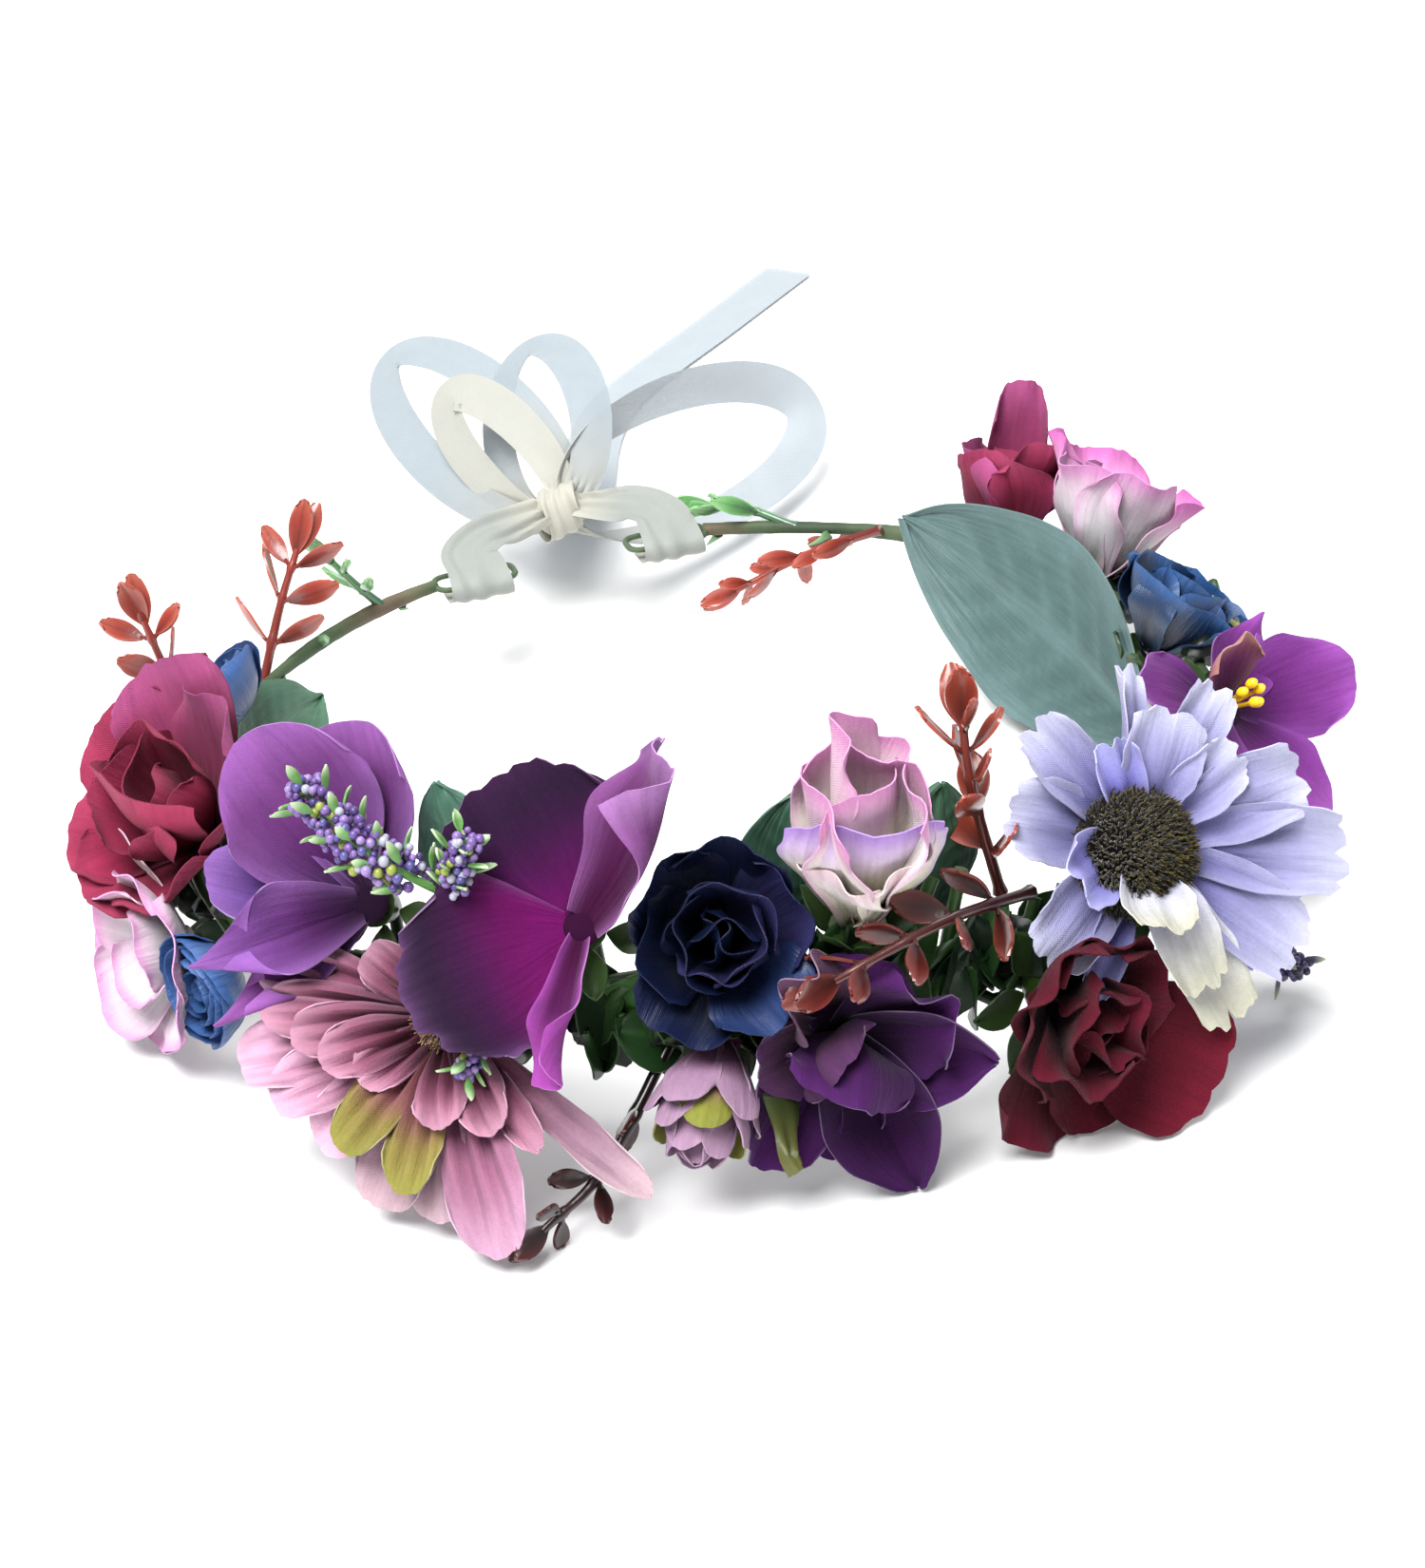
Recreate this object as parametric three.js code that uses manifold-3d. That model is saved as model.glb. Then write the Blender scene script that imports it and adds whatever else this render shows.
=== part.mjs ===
// Flower crown: a wired vine bent into an open ring, with fabric flowers, plastic leaf sprigs,
// leaves and a berry spray taped round its front and sides, and a ribbon tied through an
// eyelet at each end of the wire. Millimetres, +Z up. The origin is on the surface the crown
// rests on, under the middle of the ring; the ribbon is at the back, +Y.
import * as THREE from "three";
import { mergeVertices } from "three/addons/utils/BufferGeometryUtils.js";
import Module from "manifold-3d";

const wasm = await Module();
wasm.setup();

// ---- driving dimensions ----
const RING_RADIUS = 90; // vine centreline, for a head of about 56 cm
const RING_HEIGHT = 24; // vine centreline above the table
const RING_END = 162; // degrees from the front to each end of the vine
const RING_STEPS = 48;
const WOBBLE_OUT = 1.2; // how far the vine wanders from a true circle
const WOBBLE_UP = 1.0;
const WIRE_RADIUS = 0.6;
const WRAP_RADIUS = 2.2;
const WRAP_BORE = 1.45;
const GAP = 0.45; // between pieces that touch
const FACET = 0.18; // how far a piece's faces may lie from its cut shape
const PETAL = 1.0; // thickness of a petal layer
const STEM_RADIUS = 1;

// Eyelet: a flat oval of bare wire. The ribbon turns round its rear bar.
const EYELET_BAR = 9;
const EYELET_BEND = 3.5;
const END_TURN = (180 - RING_END) * (Math.PI / 180);
const EYELET_MIDDLE = RING_RADIUS * Math.sin(END_TURN) - EYELET_BAR / 2 - EYELET_BEND;
const BAR_Y = RING_RADIUS * Math.cos(END_TURN) + EYELET_BEND;

// Ribbon
const RIBBON_WIDTH = 13;
const RIBBON_THICK = 0.7;
const KNOT = new THREE.Vector3(3, BAR_Y + 15, RING_HEIGHT + 2);
const KNOT_SIZE = new THREE.Vector3(6.5, 5, 5.5);
const TAIL_END = new THREE.Vector2(112, 275);
const STRAP_WIDTH = 6.5; // gathered where it passes the eyelet
const STRAP_BORE = 1.1;
const STRAP_OUTER = 1.8;

const DEG = Math.PI / 180;
const V = (x, y, z) => new THREE.Vector3(x, y, z);
const UP = V(0, 0, 1);

// Degrees around the ring from the front, positive towards +X, with the distance from the
// ring's axis and the height above the table.
function ringPoint(around, out = RING_RADIUS, up = RING_HEIGHT) {
  return V(out * Math.sin(around * DEG), -out * Math.cos(around * DEG), up);
}

// The direction that points outwards at that place, lifted above the horizontal and turned
// about the vertical, positive towards +X at the front.
function facing(around, lift = 0, turn = 0) {
  const a = (around + turn) * DEG;
  const level = Math.cos(lift * DEG);
  return V(Math.sin(a) * level, -Math.cos(a) * level, Math.sin(lift * DEG));
}

// A rotation that carries +Z to axis and keeps +X level.
function basis(axis) {
  const z = axis.clone().normalize();
  const x = Math.abs(z.z) > 0.999 ? V(1, 0, 0) : new THREE.Vector3().crossVectors(UP, z).normalize();
  const y = new THREE.Vector3().crossVectors(z, x);
  return new THREE.Quaternion().setFromRotationMatrix(new THREE.Matrix4().makeBasis(x, y, z));
}

// ---- geometry helpers ----

function solidOf(geometry, matrix = new THREE.Matrix4()) {
  const bare = new THREE.BufferGeometry();
  bare.setAttribute("position", geometry.getAttribute("position").clone());
  if (geometry.index) bare.setIndex(geometry.index.clone());
  const merged = mergeVertices(bare.applyMatrix4(matrix), 1e-4);
  const mesh = new wasm.Mesh({
    numProp: 3,
    vertProperties: new Float32Array(merged.attributes.position.array),
    triVerts: new Uint32Array(merged.index.array),
  });
  return new wasm.Manifold(mesh);
}

function geometryOf(solid) {
  const mesh = solid.getMesh();
  const geometry = new THREE.BufferGeometry();
  geometry.setAttribute("position", new THREE.BufferAttribute(mesh.vertProperties.slice(), 3));
  geometry.setIndex(new THREE.BufferAttribute(mesh.triVerts.slice(), 1));
  geometry.computeVertexNormals();
  return geometry;
}

function join(geometries) {
  return geometries.map((g) => solidOf(g)).reduce((a, b) => a.add(b));
}

const moved = (geometry, position) => geometry.clone().translate(position.x, position.y, position.z);

// A closed skin round a rectangle of points: two sheets and the strip between their edges.
// top(u, v) and bottom(u, v) give points for u and v from 0 to 1.
function plate(top, bottom, columns, rows) {
  const points = [];
  const faces = [];
  const at = (side, i, j) => side * (columns + 1) * (rows + 1) + j * (columns + 1) + i;
  for (const sheet of [top, bottom])
    for (let j = 0; j <= rows; j++)
      for (let i = 0; i <= columns; i++) points.push(...sheet(i / columns, j / rows).toArray());
  const quad = (a, b, c, d) => faces.push(a, b, c, a, c, d);
  for (let j = 0; j < rows; j++)
    for (let i = 0; i < columns; i++) {
      quad(at(0, i, j), at(0, i + 1, j), at(0, i + 1, j + 1), at(0, i, j + 1));
      quad(at(1, i, j), at(1, i, j + 1), at(1, i + 1, j + 1), at(1, i + 1, j));
    }
  for (let i = 0; i < columns; i++) {
    quad(at(1, i, 0), at(1, i + 1, 0), at(0, i + 1, 0), at(0, i, 0));
    quad(at(0, i, rows), at(0, i + 1, rows), at(1, i + 1, rows), at(1, i, rows));
  }
  for (let j = 0; j < rows; j++) {
    quad(at(0, 0, j), at(0, 0, j + 1), at(1, 0, j + 1), at(1, 0, j));
    quad(at(1, columns, j), at(1, columns, j + 1), at(0, columns, j + 1), at(0, columns, j));
  }
  const geometry = new THREE.BufferGeometry();
  geometry.setAttribute("position", new THREE.Float32BufferAttribute(points, 3));
  geometry.setIndex(faces);
  return geometry;
}

// A round rod with closed ends along a curve.
function rod(curve, radius, steps, sides = 5) {
  const section = new THREE.Shape();
  for (let i = 0; i < sides; i++) {
    const a = (2 * Math.PI * i) / sides;
    if (i) section.lineTo(radius * Math.cos(a), radius * Math.sin(a));
    else section.moveTo(radius, 0);
  }
  section.closePath();
  return new THREE.ExtrudeGeometry(section, { steps, extrudePath: curve, bevelEnabled: false });
}

const through = (...points) => new THREE.CatmullRomCurve3(points);

// ---- pieces ----

const crown = new THREE.Group();
const claimed = []; // what each piece keeps clear of the ones after it

// Adds one piece. make(grow) gives its geometry or solid in its own frame, thickened by grow
// on each side; it gives way to every earlier piece, and its largest part is kept.
function place(name, color, make, { at = V(0, 0, 0), turn = new THREE.Quaternion(), finish = {} } = {}) {
  const home = new THREE.Matrix4().compose(at, turn, V(1, 1, 1));
  const shape = (grow) => {
    const made = make(grow);
    return made.getMesh ? made.transform(home.toArray()) : solidOf(made, home);
  };
  let solid = shape(0);
  const box = solid.boundingBox();
  const near = claimed.filter(({ box: b }) =>
    [0, 1, 2].every((k) => b.min[k] <= box.max[k] && b.max[k] >= box.min[k]),
  );
  for (const { solid: other } of near) solid = solid.subtract(other);
  const [kept] = solid.simplify(FACET).decompose().sort((a, b) => b.volume() - a.volume());
  const clear = shape(GAP);
  claimed.push({ solid: clear, box: clear.boundingBox() });
  const local = kept.transform(home.clone().invert().toArray());
  const material = new THREE.MeshStandardMaterial({ color, roughness: 0.8, metalness: 0, ...finish });
  const mesh = new THREE.Mesh(geometryOf(local), material);
  mesh.name = name;
  mesh.position.copy(at);
  mesh.quaternion.copy(turn);
  crown.add(mesh);
  return mesh;
}

// ---- vine ----

class VineCurve extends THREE.Curve {
  getPoint(t, target = new THREE.Vector3()) {
    const around = (2 * t - 1) * RING_END;
    const fade = Math.cos((around / RING_END) * 90 * DEG); // both ends meet the eyelets exactly
    const out = RING_RADIUS + WOBBLE_OUT * fade * Math.sin(4 * around * DEG + 1);
    const up = RING_HEIGHT + WOBBLE_UP * fade * Math.sin(6 * around * DEG);
    return target.copy(ringPoint(around, out, up));
  }
}

class EyeletCurve extends THREE.Curve {
  // A flat oval in the XY plane round the origin: two straight bars and two half circles.
  getPoint(t, target = new THREE.Vector3()) {
    const bend = Math.PI * EYELET_BEND;
    const s = (((t % 1) + 1) % 1) * 2 * (EYELET_BAR + bend);
    const half = s % (EYELET_BAR + bend);
    const side = s < EYELET_BAR + bend ? 1 : -1;
    const a = ((half - EYELET_BAR) / bend) * Math.PI;
    const straight = half < EYELET_BAR;
    const x = straight ? half - EYELET_BAR / 2 : EYELET_BAR / 2 + EYELET_BEND * Math.sin(a);
    const y = straight ? -EYELET_BEND : -EYELET_BEND * Math.cos(a);
    return target.set(side * x, side * y, 0);
  }
}

// The oval as a ring of sections, because a closed rod has no ends to cap.
function eyelet(radius, steps = 20, sides = 5) {
  const curve = new EyeletCurve();
  const points = [];
  const faces = [];
  for (let i = 0; i < steps; i++) {
    const p = curve.getPoint(i / steps);
    const ahead = curve.getPoint((i + 0.5) / steps).sub(curve.getPoint((i - 0.5) / steps)).normalize();
    const side = V(ahead.y, -ahead.x, 0);
    for (let k = 0; k < sides; k++) {
      const a = (2 * Math.PI * k) / sides;
      const q = p.clone().addScaledVector(side, radius * Math.cos(a));
      q.addScaledVector(UP, radius * Math.sin(a));
      points.push(...q.toArray());
      const here = (j, m) => (((i + j) % steps) * sides) + ((k + m) % sides);
      faces.push(here(0, 0), here(0, 1), here(1, 1), here(0, 0), here(1, 1), here(1, 0));
    }
  }
  const geometry = new THREE.BufferGeometry();
  geometry.setAttribute("position", new THREE.Float32BufferAttribute(points, 3));
  geometry.setIndex(faces);
  return geometry;
}

function tube(curve, outer, bore, steps, sides) {
  const ring = (radius, Kind) => {
    const path = new Kind();
    for (let i = 0; i < sides; i++) {
      const a = (2 * Math.PI * i) / sides;
      if (i) path.lineTo(radius * Math.cos(a), radius * Math.sin(a));
      else path.moveTo(radius, 0);
    }
    path.closePath();
    return path;
  };
  const section = ring(outer, THREE.Shape);
  if (bore > 0) section.holes.push(ring(bore, THREE.Path));
  return new THREE.ExtrudeGeometry(section, { steps, extrudePath: curve, bevelEnabled: false });
}

function addVine() {
  const vine = new VineCurve();
  place("wire_core", 0x8a8d90, (grow) => {
    const parts = [rod(vine, WIRE_RADIUS + grow, RING_STEPS)];
    for (const side of [-1, 1]) {
      const middle = V(side * EYELET_MIDDLE, BAR_Y - EYELET_BEND, RING_HEIGHT);
      parts.push(moved(eyelet(WIRE_RADIUS + grow), middle));
    }
    return join(parts);
  }, { finish: { roughness: 0.4, metalness: 0.8 } });
  place("vine_wrap", 0x5b6b45, (grow) =>
    tube(vine, WRAP_RADIUS + grow, grow ? 0 : WRAP_BORE, RING_STEPS, 6));
}

// ---- ribbon ----

// A flat band along points, with its width along across at each one.
function band(points, across, width, thick, grow) {
  const curve = new THREE.CatmullRomCurve3(points);
  const spread = new THREE.CatmullRomCurve3(across);
  const edge = (u, v, side) => {
    const wide = spread.getPoint(v).normalize();
    const ahead = curve.getTangent(v);
    const normal = new THREE.Vector3().crossVectors(wide, ahead).normalize();
    const point = curve.getPoint(v).addScaledVector(ahead, (2 * v - 1) * grow);
    point.addScaledVector(wide, (u - 0.5) * (width(v) + 2 * grow));
    return point.addScaledVector(normal, side * (thick / 2 + grow));
  };
  const steps = Math.max(8, 2 * points.length);
  return plate((u, v) => edge(u, v, 1), (u, v) => edge(u, v, -1), 1, steps);
}

// Ribbon that leaves the knot along axis, opens into a teardrop loop and comes back to it. The
// loop is open along side, and flare turns its band outwards, so it lies like a cone.
function bowLoop({ length, breadth, axis, side, width, flare }, grow) {
  const points = 10;
  const along = axis.clone().normalize();
  const open = side.clone().addScaledVector(along, -side.dot(along)).normalize();
  const across = new THREE.Vector3().crossVectors(along, open);
  const route = [];
  const spread = [];
  for (let i = 0; i <= points; i++) {
    const a = (2 * Math.PI * i) / points;
    const far = (length * (1 - Math.cos(a))) / 2;
    const wide = (breadth / 2) * Math.sin(a);
    route.push(KNOT.clone().addScaledVector(along, far).addScaledVector(open, wide));
    const outwards = along.clone().multiplyScalar(-Math.cos(a)).addScaledVector(open, Math.sin(a));
    spread.push(across.clone().addScaledVector(outwards, flare * Math.sin(a / 2)));
  }
  const gathered = (v) => width * (0.4 + 0.6 * Math.sin(Math.PI * v) ** 0.7);
  return band(route, spread, gathered, RIBBON_THICK, grow);
}

const BOW_LOOPS = [
  { name: "bow_loop_left", length: 66, breadth: 34, axis: V(-27, 57, 11), side: V(0.6, 0, 0.8) },
  { name: "bow_loop_middle", length: 66, breadth: 27, axis: V(11, 62, 13), side: V(0.9, 0, -0.2) },
  { name: "bow_loop_small", length: 42, breadth: 17, axis: V(-18, 33, 15), side: V(0.6, 0, 0.8) },
  { name: "bow_loop_right", length: 88, breadth: 38, axis: V(72, 49, -13), side: V(0.1, 0.75, 0.5) },
].map((loop) => ({ ...loop, width: RIBBON_WIDTH - 3, flare: 0.8 }));

// The strap is sewn round the eyelet's rear bar and gathered into the knot.
function strap(side, grow) {
  const bar = V(side * EYELET_MIDDLE, BAR_Y, RING_HEIGHT);
  const half = STRAP_WIDTH / 2 + grow;
  const [inner, outer] = [grow ? 0 : STRAP_BORE, STRAP_OUTER + grow];
  const section = [[inner, -half], [outer, -half], [outer, half], [inner, half]];
  if (!grow) section.push(section[0]);
  const turn = new THREE.LatheGeometry(section.map(([r, h]) => new THREE.Vector2(r, h)), 12);
  const route = [
    bar.clone().add(V(0, STRAP_OUTER - RIBBON_THICK / 2, 0)),
    bar.clone().lerp(KNOT, 0.3).add(V(side * 1.5, 1, 1.5)),
    bar.clone().lerp(KNOT, 0.65).add(V(side, 1, 1.5)),
    KNOT,
  ];
  const across = [V(1, 0, 0), V(1, 0.2 * side, 0), V(0.8, 0.3 * side, 0.5), V(0.3, 0, 1)];
  const flat = band(route, across, (v) => STRAP_WIDTH + 5 * Math.sin(Math.PI * v), RIBBON_THICK, grow);
  return join([moved(turn.rotateZ(Math.PI / 2), bar), flat]);
}

function addRibbon() {
  const white = 0xf4f1e6;
  const finish = { roughness: 0.55 };
  place("bow_knot", white, (grow) => {
    const lump = new THREE.SphereGeometry(1, 10, 7);
    return lump.scale(KNOT_SIZE.x + grow, KNOT_SIZE.y + grow, KNOT_SIZE.z + grow);
  }, { at: KNOT, finish });
  place("ribbon_strap_left", white, (grow) => strap(-1, grow), { finish });
  place("ribbon_strap_right", white, (grow) => strap(1, grow), { finish });
  for (const loop of BOW_LOOPS) place(loop.name, white, (grow) => bowLoop(loop, grow), { finish });
  // The tail drops behind the loops and lies along the table.
  const tail = [
    KNOT,
    V(8, BAR_Y + 29, 19),
    V(17, BAR_Y + 52, 8),
    V(25, BAR_Y + 77, 2),
    V(36, BAR_Y + 106, 0.8),
    V(50, BAR_Y + 128, 0.6),
    V(81, BAR_Y + 157, 0.6),
    V(TAIL_END.x, TAIL_END.y, 0.6),
  ];
  const gathered = (v) => RIBBON_WIDTH * (0.45 + 0.55 * Math.min(1, 3 * v));
  const across = tail.map((_, i) => V(0.95 - 0.035 * i, -0.2 - 0.07 * i, 0));
  place("ribbon_tail", white, (grow) => band(tail, across, gathered, RIBBON_THICK, grow), { finish });
}

// ---- flowers ----

// Profiles of a whorl: how far from the axis and how high, as shares, for s from 0 to 1.
const PROFILES = {
  open: (s) => [Math.sin(s * 90 * DEG), 1 - Math.cos(s * 90 * DEG)], // a bowl
  flat: (s) => [s, s * s], // a shallow dish
  bulb: (s) => [Math.sin(s * 128 * DEG), (1 - Math.cos(s * 128 * DEG)) / 1.62], // closes again
};

// A layer of petals joined at the flower's base, with notches between them at the rim.
function whorl({ radius, depth, petals, notch = 0.25, profile = "open", rows = 3, perPetal = 4 }, grow) {
  const columns = petals * perPetal;
  const at = PROFILES[profile];
  const thick = PETAL / 2 + grow;
  const reach = 1 + grow / Math.hypot(radius, depth);
  const points = [];
  const ring = (s, side) => {
    const [r0, h0] = at(s);
    const [r1, h1] = at(s - 0.01);
    const dr = (r0 - r1) * radius;
    const dh = (h0 - h1) * depth;
    const slope = Math.hypot(dr, dh);
    for (let i = 0; i < columns; i++) {
      const a = (2 * Math.PI * i) / columns;
      const dip = notch * s ** 3 * Math.abs(Math.cos((petals * a) / 2)) ** 2;
      const r = r0 * radius * (1 - dip) + (side * thick * dh) / slope;
      const h = h0 * depth * (1 - dip) - (side * thick * dr) / slope;
      points.push(r * Math.cos(a), r * Math.sin(a), h);
    }
  };
  points.push(0, 0, thick, 0, 0, -thick);
  for (const side of [-1, 1]) for (let j = 1; j <= rows; j++) ring((j / rows) * reach, side);
  const faces = [];
  const id = (side, j, i) => 2 + (side > 0 ? rows * columns : 0) + (j - 1) * columns + (i % columns);
  for (let i = 0; i < columns; i++) {
    faces.push(0, id(-1, 1, i), id(-1, 1, i + 1));
    faces.push(1, id(1, 1, i + 1), id(1, 1, i));
    for (let j = 1; j < rows; j++) {
      const [a, b, c, d] = [id(-1, j, i), id(-1, j, i + 1), id(-1, j + 1, i + 1), id(-1, j + 1, i)];
      faces.push(a, d, c, a, c, b);
      const [e, f, g, h] = [id(1, j, i), id(1, j, i + 1), id(1, j + 1, i + 1), id(1, j + 1, i)];
      faces.push(e, f, g, e, g, h);
    }
    const [p, q, r, s] = [id(-1, rows, i), id(-1, rows, i + 1), id(1, rows, i + 1), id(1, rows, i)];
    faces.push(p, s, r, p, r, q);
  }
  const geometry = new THREE.BufferGeometry();
  geometry.setAttribute("position", new THREE.Float32BufferAttribute(points, 3));
  geometry.setIndex(faces);
  return geometry;
}

// A plastic cup under the petals, from its rim at the origin down the -Z side.
function calyxCup(radius, height, grow) {
  const profile = [
    [0, -height - grow],
    [STEM_RADIUS + 0.4 + grow, -height - grow],
    [radius * 0.75 + grow, -height * 0.55],
    [radius + grow, grow],
    [0, grow],
  ].map(([r, h]) => new THREE.Vector2(r, h));
  return new THREE.LatheGeometry(profile, 8).rotateX(Math.PI / 2);
}

// Petals at equal steps round the axis, from one at angle start.
const layer = (count, lean, length, width, curl, start = 0) =>
  Array.from({ length: count }, (_, k) => [start + (360 * k) / count, lean, length, width, curl]);

// around, out and up place the bottom of the petals; lift and turn say which way they face.
// A cup is one moulded whorl. The other blooms list their petals: angle round the axis, lean
// away from it, length, width and how far the tip curls back in, as a share of the length.
const FLOWERS = [
  { name: "magenta_orchid", color: 0x9c2a8f, around: -28, out: 100, up: 47, lift: 35, turn: 0,
    petals: [[128, 84, 27, 30, 0.05], [208, 80, 30, 32, 0.05], [50, 54, 38, 19, 0], [292, 42, 33, 20, 0]] },
  { name: "lavender_daisy", color: 0xb9b4e4, around: 23, out: 102, up: 43, lift: 28, turn: -18,
    petals: layer(12, 76, 32, 10.5, 0.04, 8), heart: { color: 0x2a1c0e, radius: 9, height: 7 } },
  { name: "navy_rose", color: 0x1c2a66, around: -16, out: 94, up: 40, lift: 34, turn: 0,
    cup: { radius: 13, depth: 19, petals: 5, profile: "bulb" } },
  { name: "cream_rosebud", color: 0xf1d8e0, around: -3.5, out: 95, up: 41, lift: 74, turn: 0,
    petals: [[110, 10, 37, 19, 0.1], [192, 22, 28, 18, 0.15], [345, 22, 26, 18, 0.15],
      [275, 26, 22, 20, 0.2]] },
  { name: "pink_zinnia", color: 0xd893b0, around: -41, out: 101, up: 29, lift: 37, turn: 0,
    petals: [...[160, 182, 204, 226, 249, 272, 295, 322].map((a, k) => [a, 84 - 7 * (k % 2), 35, 12, 0.03]),
      ...[10, 62, 115].map((a) => [a, 78, 20, 11, 0.05])],
    heart: { color: 0x8a5a3a, radius: 5, height: 5 } },
  { name: "violet_orchid", color: 0x7a3f9e, around: -51, out: 94, up: 42, lift: 34, turn: 6,
    petals: [[125, 80, 34, 29, 0.1], [168, 82, 30, 17, -0.05], [200, 78, 33, 17, 0], [236, 74, 25, 17, 0]] },
  { name: "violet_lily", color: 0x5a2d82, around: -7, out: 101, up: 26, lift: -2, turn: 0,
    petals: [[264, 72, 25, 16, 0.1], [210, 72, 26, 16, 0], [15, 60, 25, 18, 0.1],
      [92, 60, 22, 24, 0], [150, 60, 22, 18, 0]] },
  { name: "burgundy_peony", color: 0x8a1a35, around: 14, out: 102, up: 21, lift: 0, turn: 0,
    petals: [...layer(5, 66, 22, 22, 0.2, 18), [80, 25, 17, 20, 0.25], [250, 25, 17, 20, 0.25]] },
  { name: "pink_bud", color: 0xd9a0b8, around: -17, out: 99, up: 26, lift: -34, turn: -18,
    cup: { radius: 9.5, depth: 20, petals: 4, profile: "bulb" } },
  { name: "purple_orchid", color: 0x8f35a3, around: 56, out: 92, up: 37, lift: 38, turn: -24,
    petals: [[150, 80, 27, 15, 0], [85, 56, 15, 14, 0.2], [30, 82, 20, 14, 0], [345, 80, 28, 19, 0],
      [268, 78, 25, 18, 0], [205, 76, 18, 14, 0]],
    heart: { color: 0xf2c81e, radius: 2.5, height: 8 } },
  { name: "crimson_peony", color: 0xa32650, around: -84, out: 90, up: 33, lift: 46, turn: 12,
    petals: [...layer(5, 58, 25, 26, 0.2, 90), [70, 22, 19, 20, 0.25], [240, 22, 19, 20, 0.25]] },
  { name: "blue_rose", color: 0x3c5fb0, around: 88, out: 85, up: 23, lift: 54, turn: -6,
    cup: { radius: 12.5, depth: 16, petals: 5, profile: "bulb" } },
  { name: "pink_rose", color: 0xe7a9cc, around: 107, out: 90, up: 24, lift: 66, turn: 0,
    petals: [[90, 26, 25, 22, 0.1], [15, 36, 29, 20, 0], [165, 34, 27, 18, 0], [270, 34, 28, 22, 0.1]] },
  { name: "crimson_rose", color: 0xa0244c, around: 121, out: 89, up: 24, lift: 74, turn: 0,
    petals: [[90, 8, 31, 19, 0.1], [200, 22, 25, 18, 0.1], [335, 22, 25, 18, 0.1]] },
  { name: "cream_rose", color: 0xead3dc, around: -78, out: 100, up: 19, lift: 4, turn: 0, bare: true,
    cup: { radius: 13, depth: 16, petals: 4, profile: "bulb" } },
  { name: "lilac_rose", color: 0xc7a6dc, around: -64, out: 85, up: 34, lift: 78, turn: 0, bare: true,
    cup: { radius: 9, depth: 20, petals: 4, profile: "bulb" } },
  { name: "blue_rose_low", color: 0x3f6ac4, around: -69, out: 99, up: 21, lift: 0, turn: 0, bare: true,
    cup: { radius: 9, depth: 12, petals: 4, profile: "bulb" } },
  { name: "blue_rose_back", color: 0x4a78c8, around: -118, out: 86, up: 27, lift: 50, turn: 0, bare: true,
    cup: { radius: 11, depth: 13, petals: 4, profile: "bulb" } },
];

// Petals that meet in a small hub at the origin, facing +Z.
function bloom(petals, grow) {
  const hub = 1.4 + 0.35 * petals.length;
  const parts = [new THREE.CylinderGeometry(hub + grow, hub + grow, 1.6 + 2 * grow, 8).rotateX(Math.PI / 2)];
  for (const [angle, lean, length, width, curl] of petals) {
    const along = facing(angle + 90, 90 - lean);
    const face = facing(angle - 90, lean);
    const petal = blade({ length: length - hub + 1, width, curl, cup: 0.12, tip: 0.88 }, grow, 4);
    const root = facing(angle + 90).multiplyScalar(hub - 1);
    parts.push(petal.applyQuaternion(bladeTurn(along, face)).translate(...root.toArray()));
  }
  return join(parts);
}

const CALYX_RADIUS = 4.5;
const CALYX_HEIGHT = 7;

function addFlowers() {
  const heads = FLOWERS.map((f) => {
    const base = ringPoint(f.around, f.out, f.up);
    return { ...f, base, axis: facing(f.around, f.lift, f.turn) };
  });
  for (const f of heads.filter((h) => !h.bare)) {
    // The calyx and its stem are one moulding; the stem bends down to lie on the vine.
    const radius = f.cup ? CALYX_RADIUS : CALYX_RADIUS - 1;
    place(f.name + "_calyx", 0x55702f, (grow) => {
      const turn = basis(f.axis);
      const seat = f.base.clone().addScaledVector(f.axis, -PETAL / 2 - GAP);
      const cup = calyxCup(radius, CALYX_HEIGHT, grow).applyQuaternion(turn).translate(...seat.toArray());
      const foot = ringPoint(f.around);
      const neck = seat.clone().addScaledVector(f.axis, -CALYX_HEIGHT + 1);
      const mid = neck.clone().lerp(foot, 0.5).addScaledVector(f.axis, -1);
      return join([cup, rod(through(neck, mid, foot), STEM_RADIUS + grow, 4)]);
    }, { finish: { roughness: 0.6 } });
  }
  for (const f of heads.filter((h) => h.heart)) {
    place(f.name + "_centre", f.heart.color, (grow) => {
      const { radius, height } = f.heart;
      const low = PETAL / 2 + GAP - grow;
      const profile = [
        [0, low],
        [radius * 0.8 + grow, low],
        [radius + grow, low + height * 0.45],
        [radius * 0.7 + grow, height + grow],
        [0, height * 1.15 + grow],
      ].map(([r, h]) => new THREE.Vector2(r, h));
      return new THREE.LatheGeometry(profile, 10).rotateX(Math.PI / 2);
    }, { at: f.base, turn: basis(f.axis), finish: { roughness: 1 } });
  }
  for (const f of heads)
    place(f.name + "_petals", f.color, (grow) => (f.cup ? whorl(f.cup, grow) : bloom(f.petals, grow)), {
      at: f.base,
      turn: basis(f.axis),
    });
}

// ---- leaves ----

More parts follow.
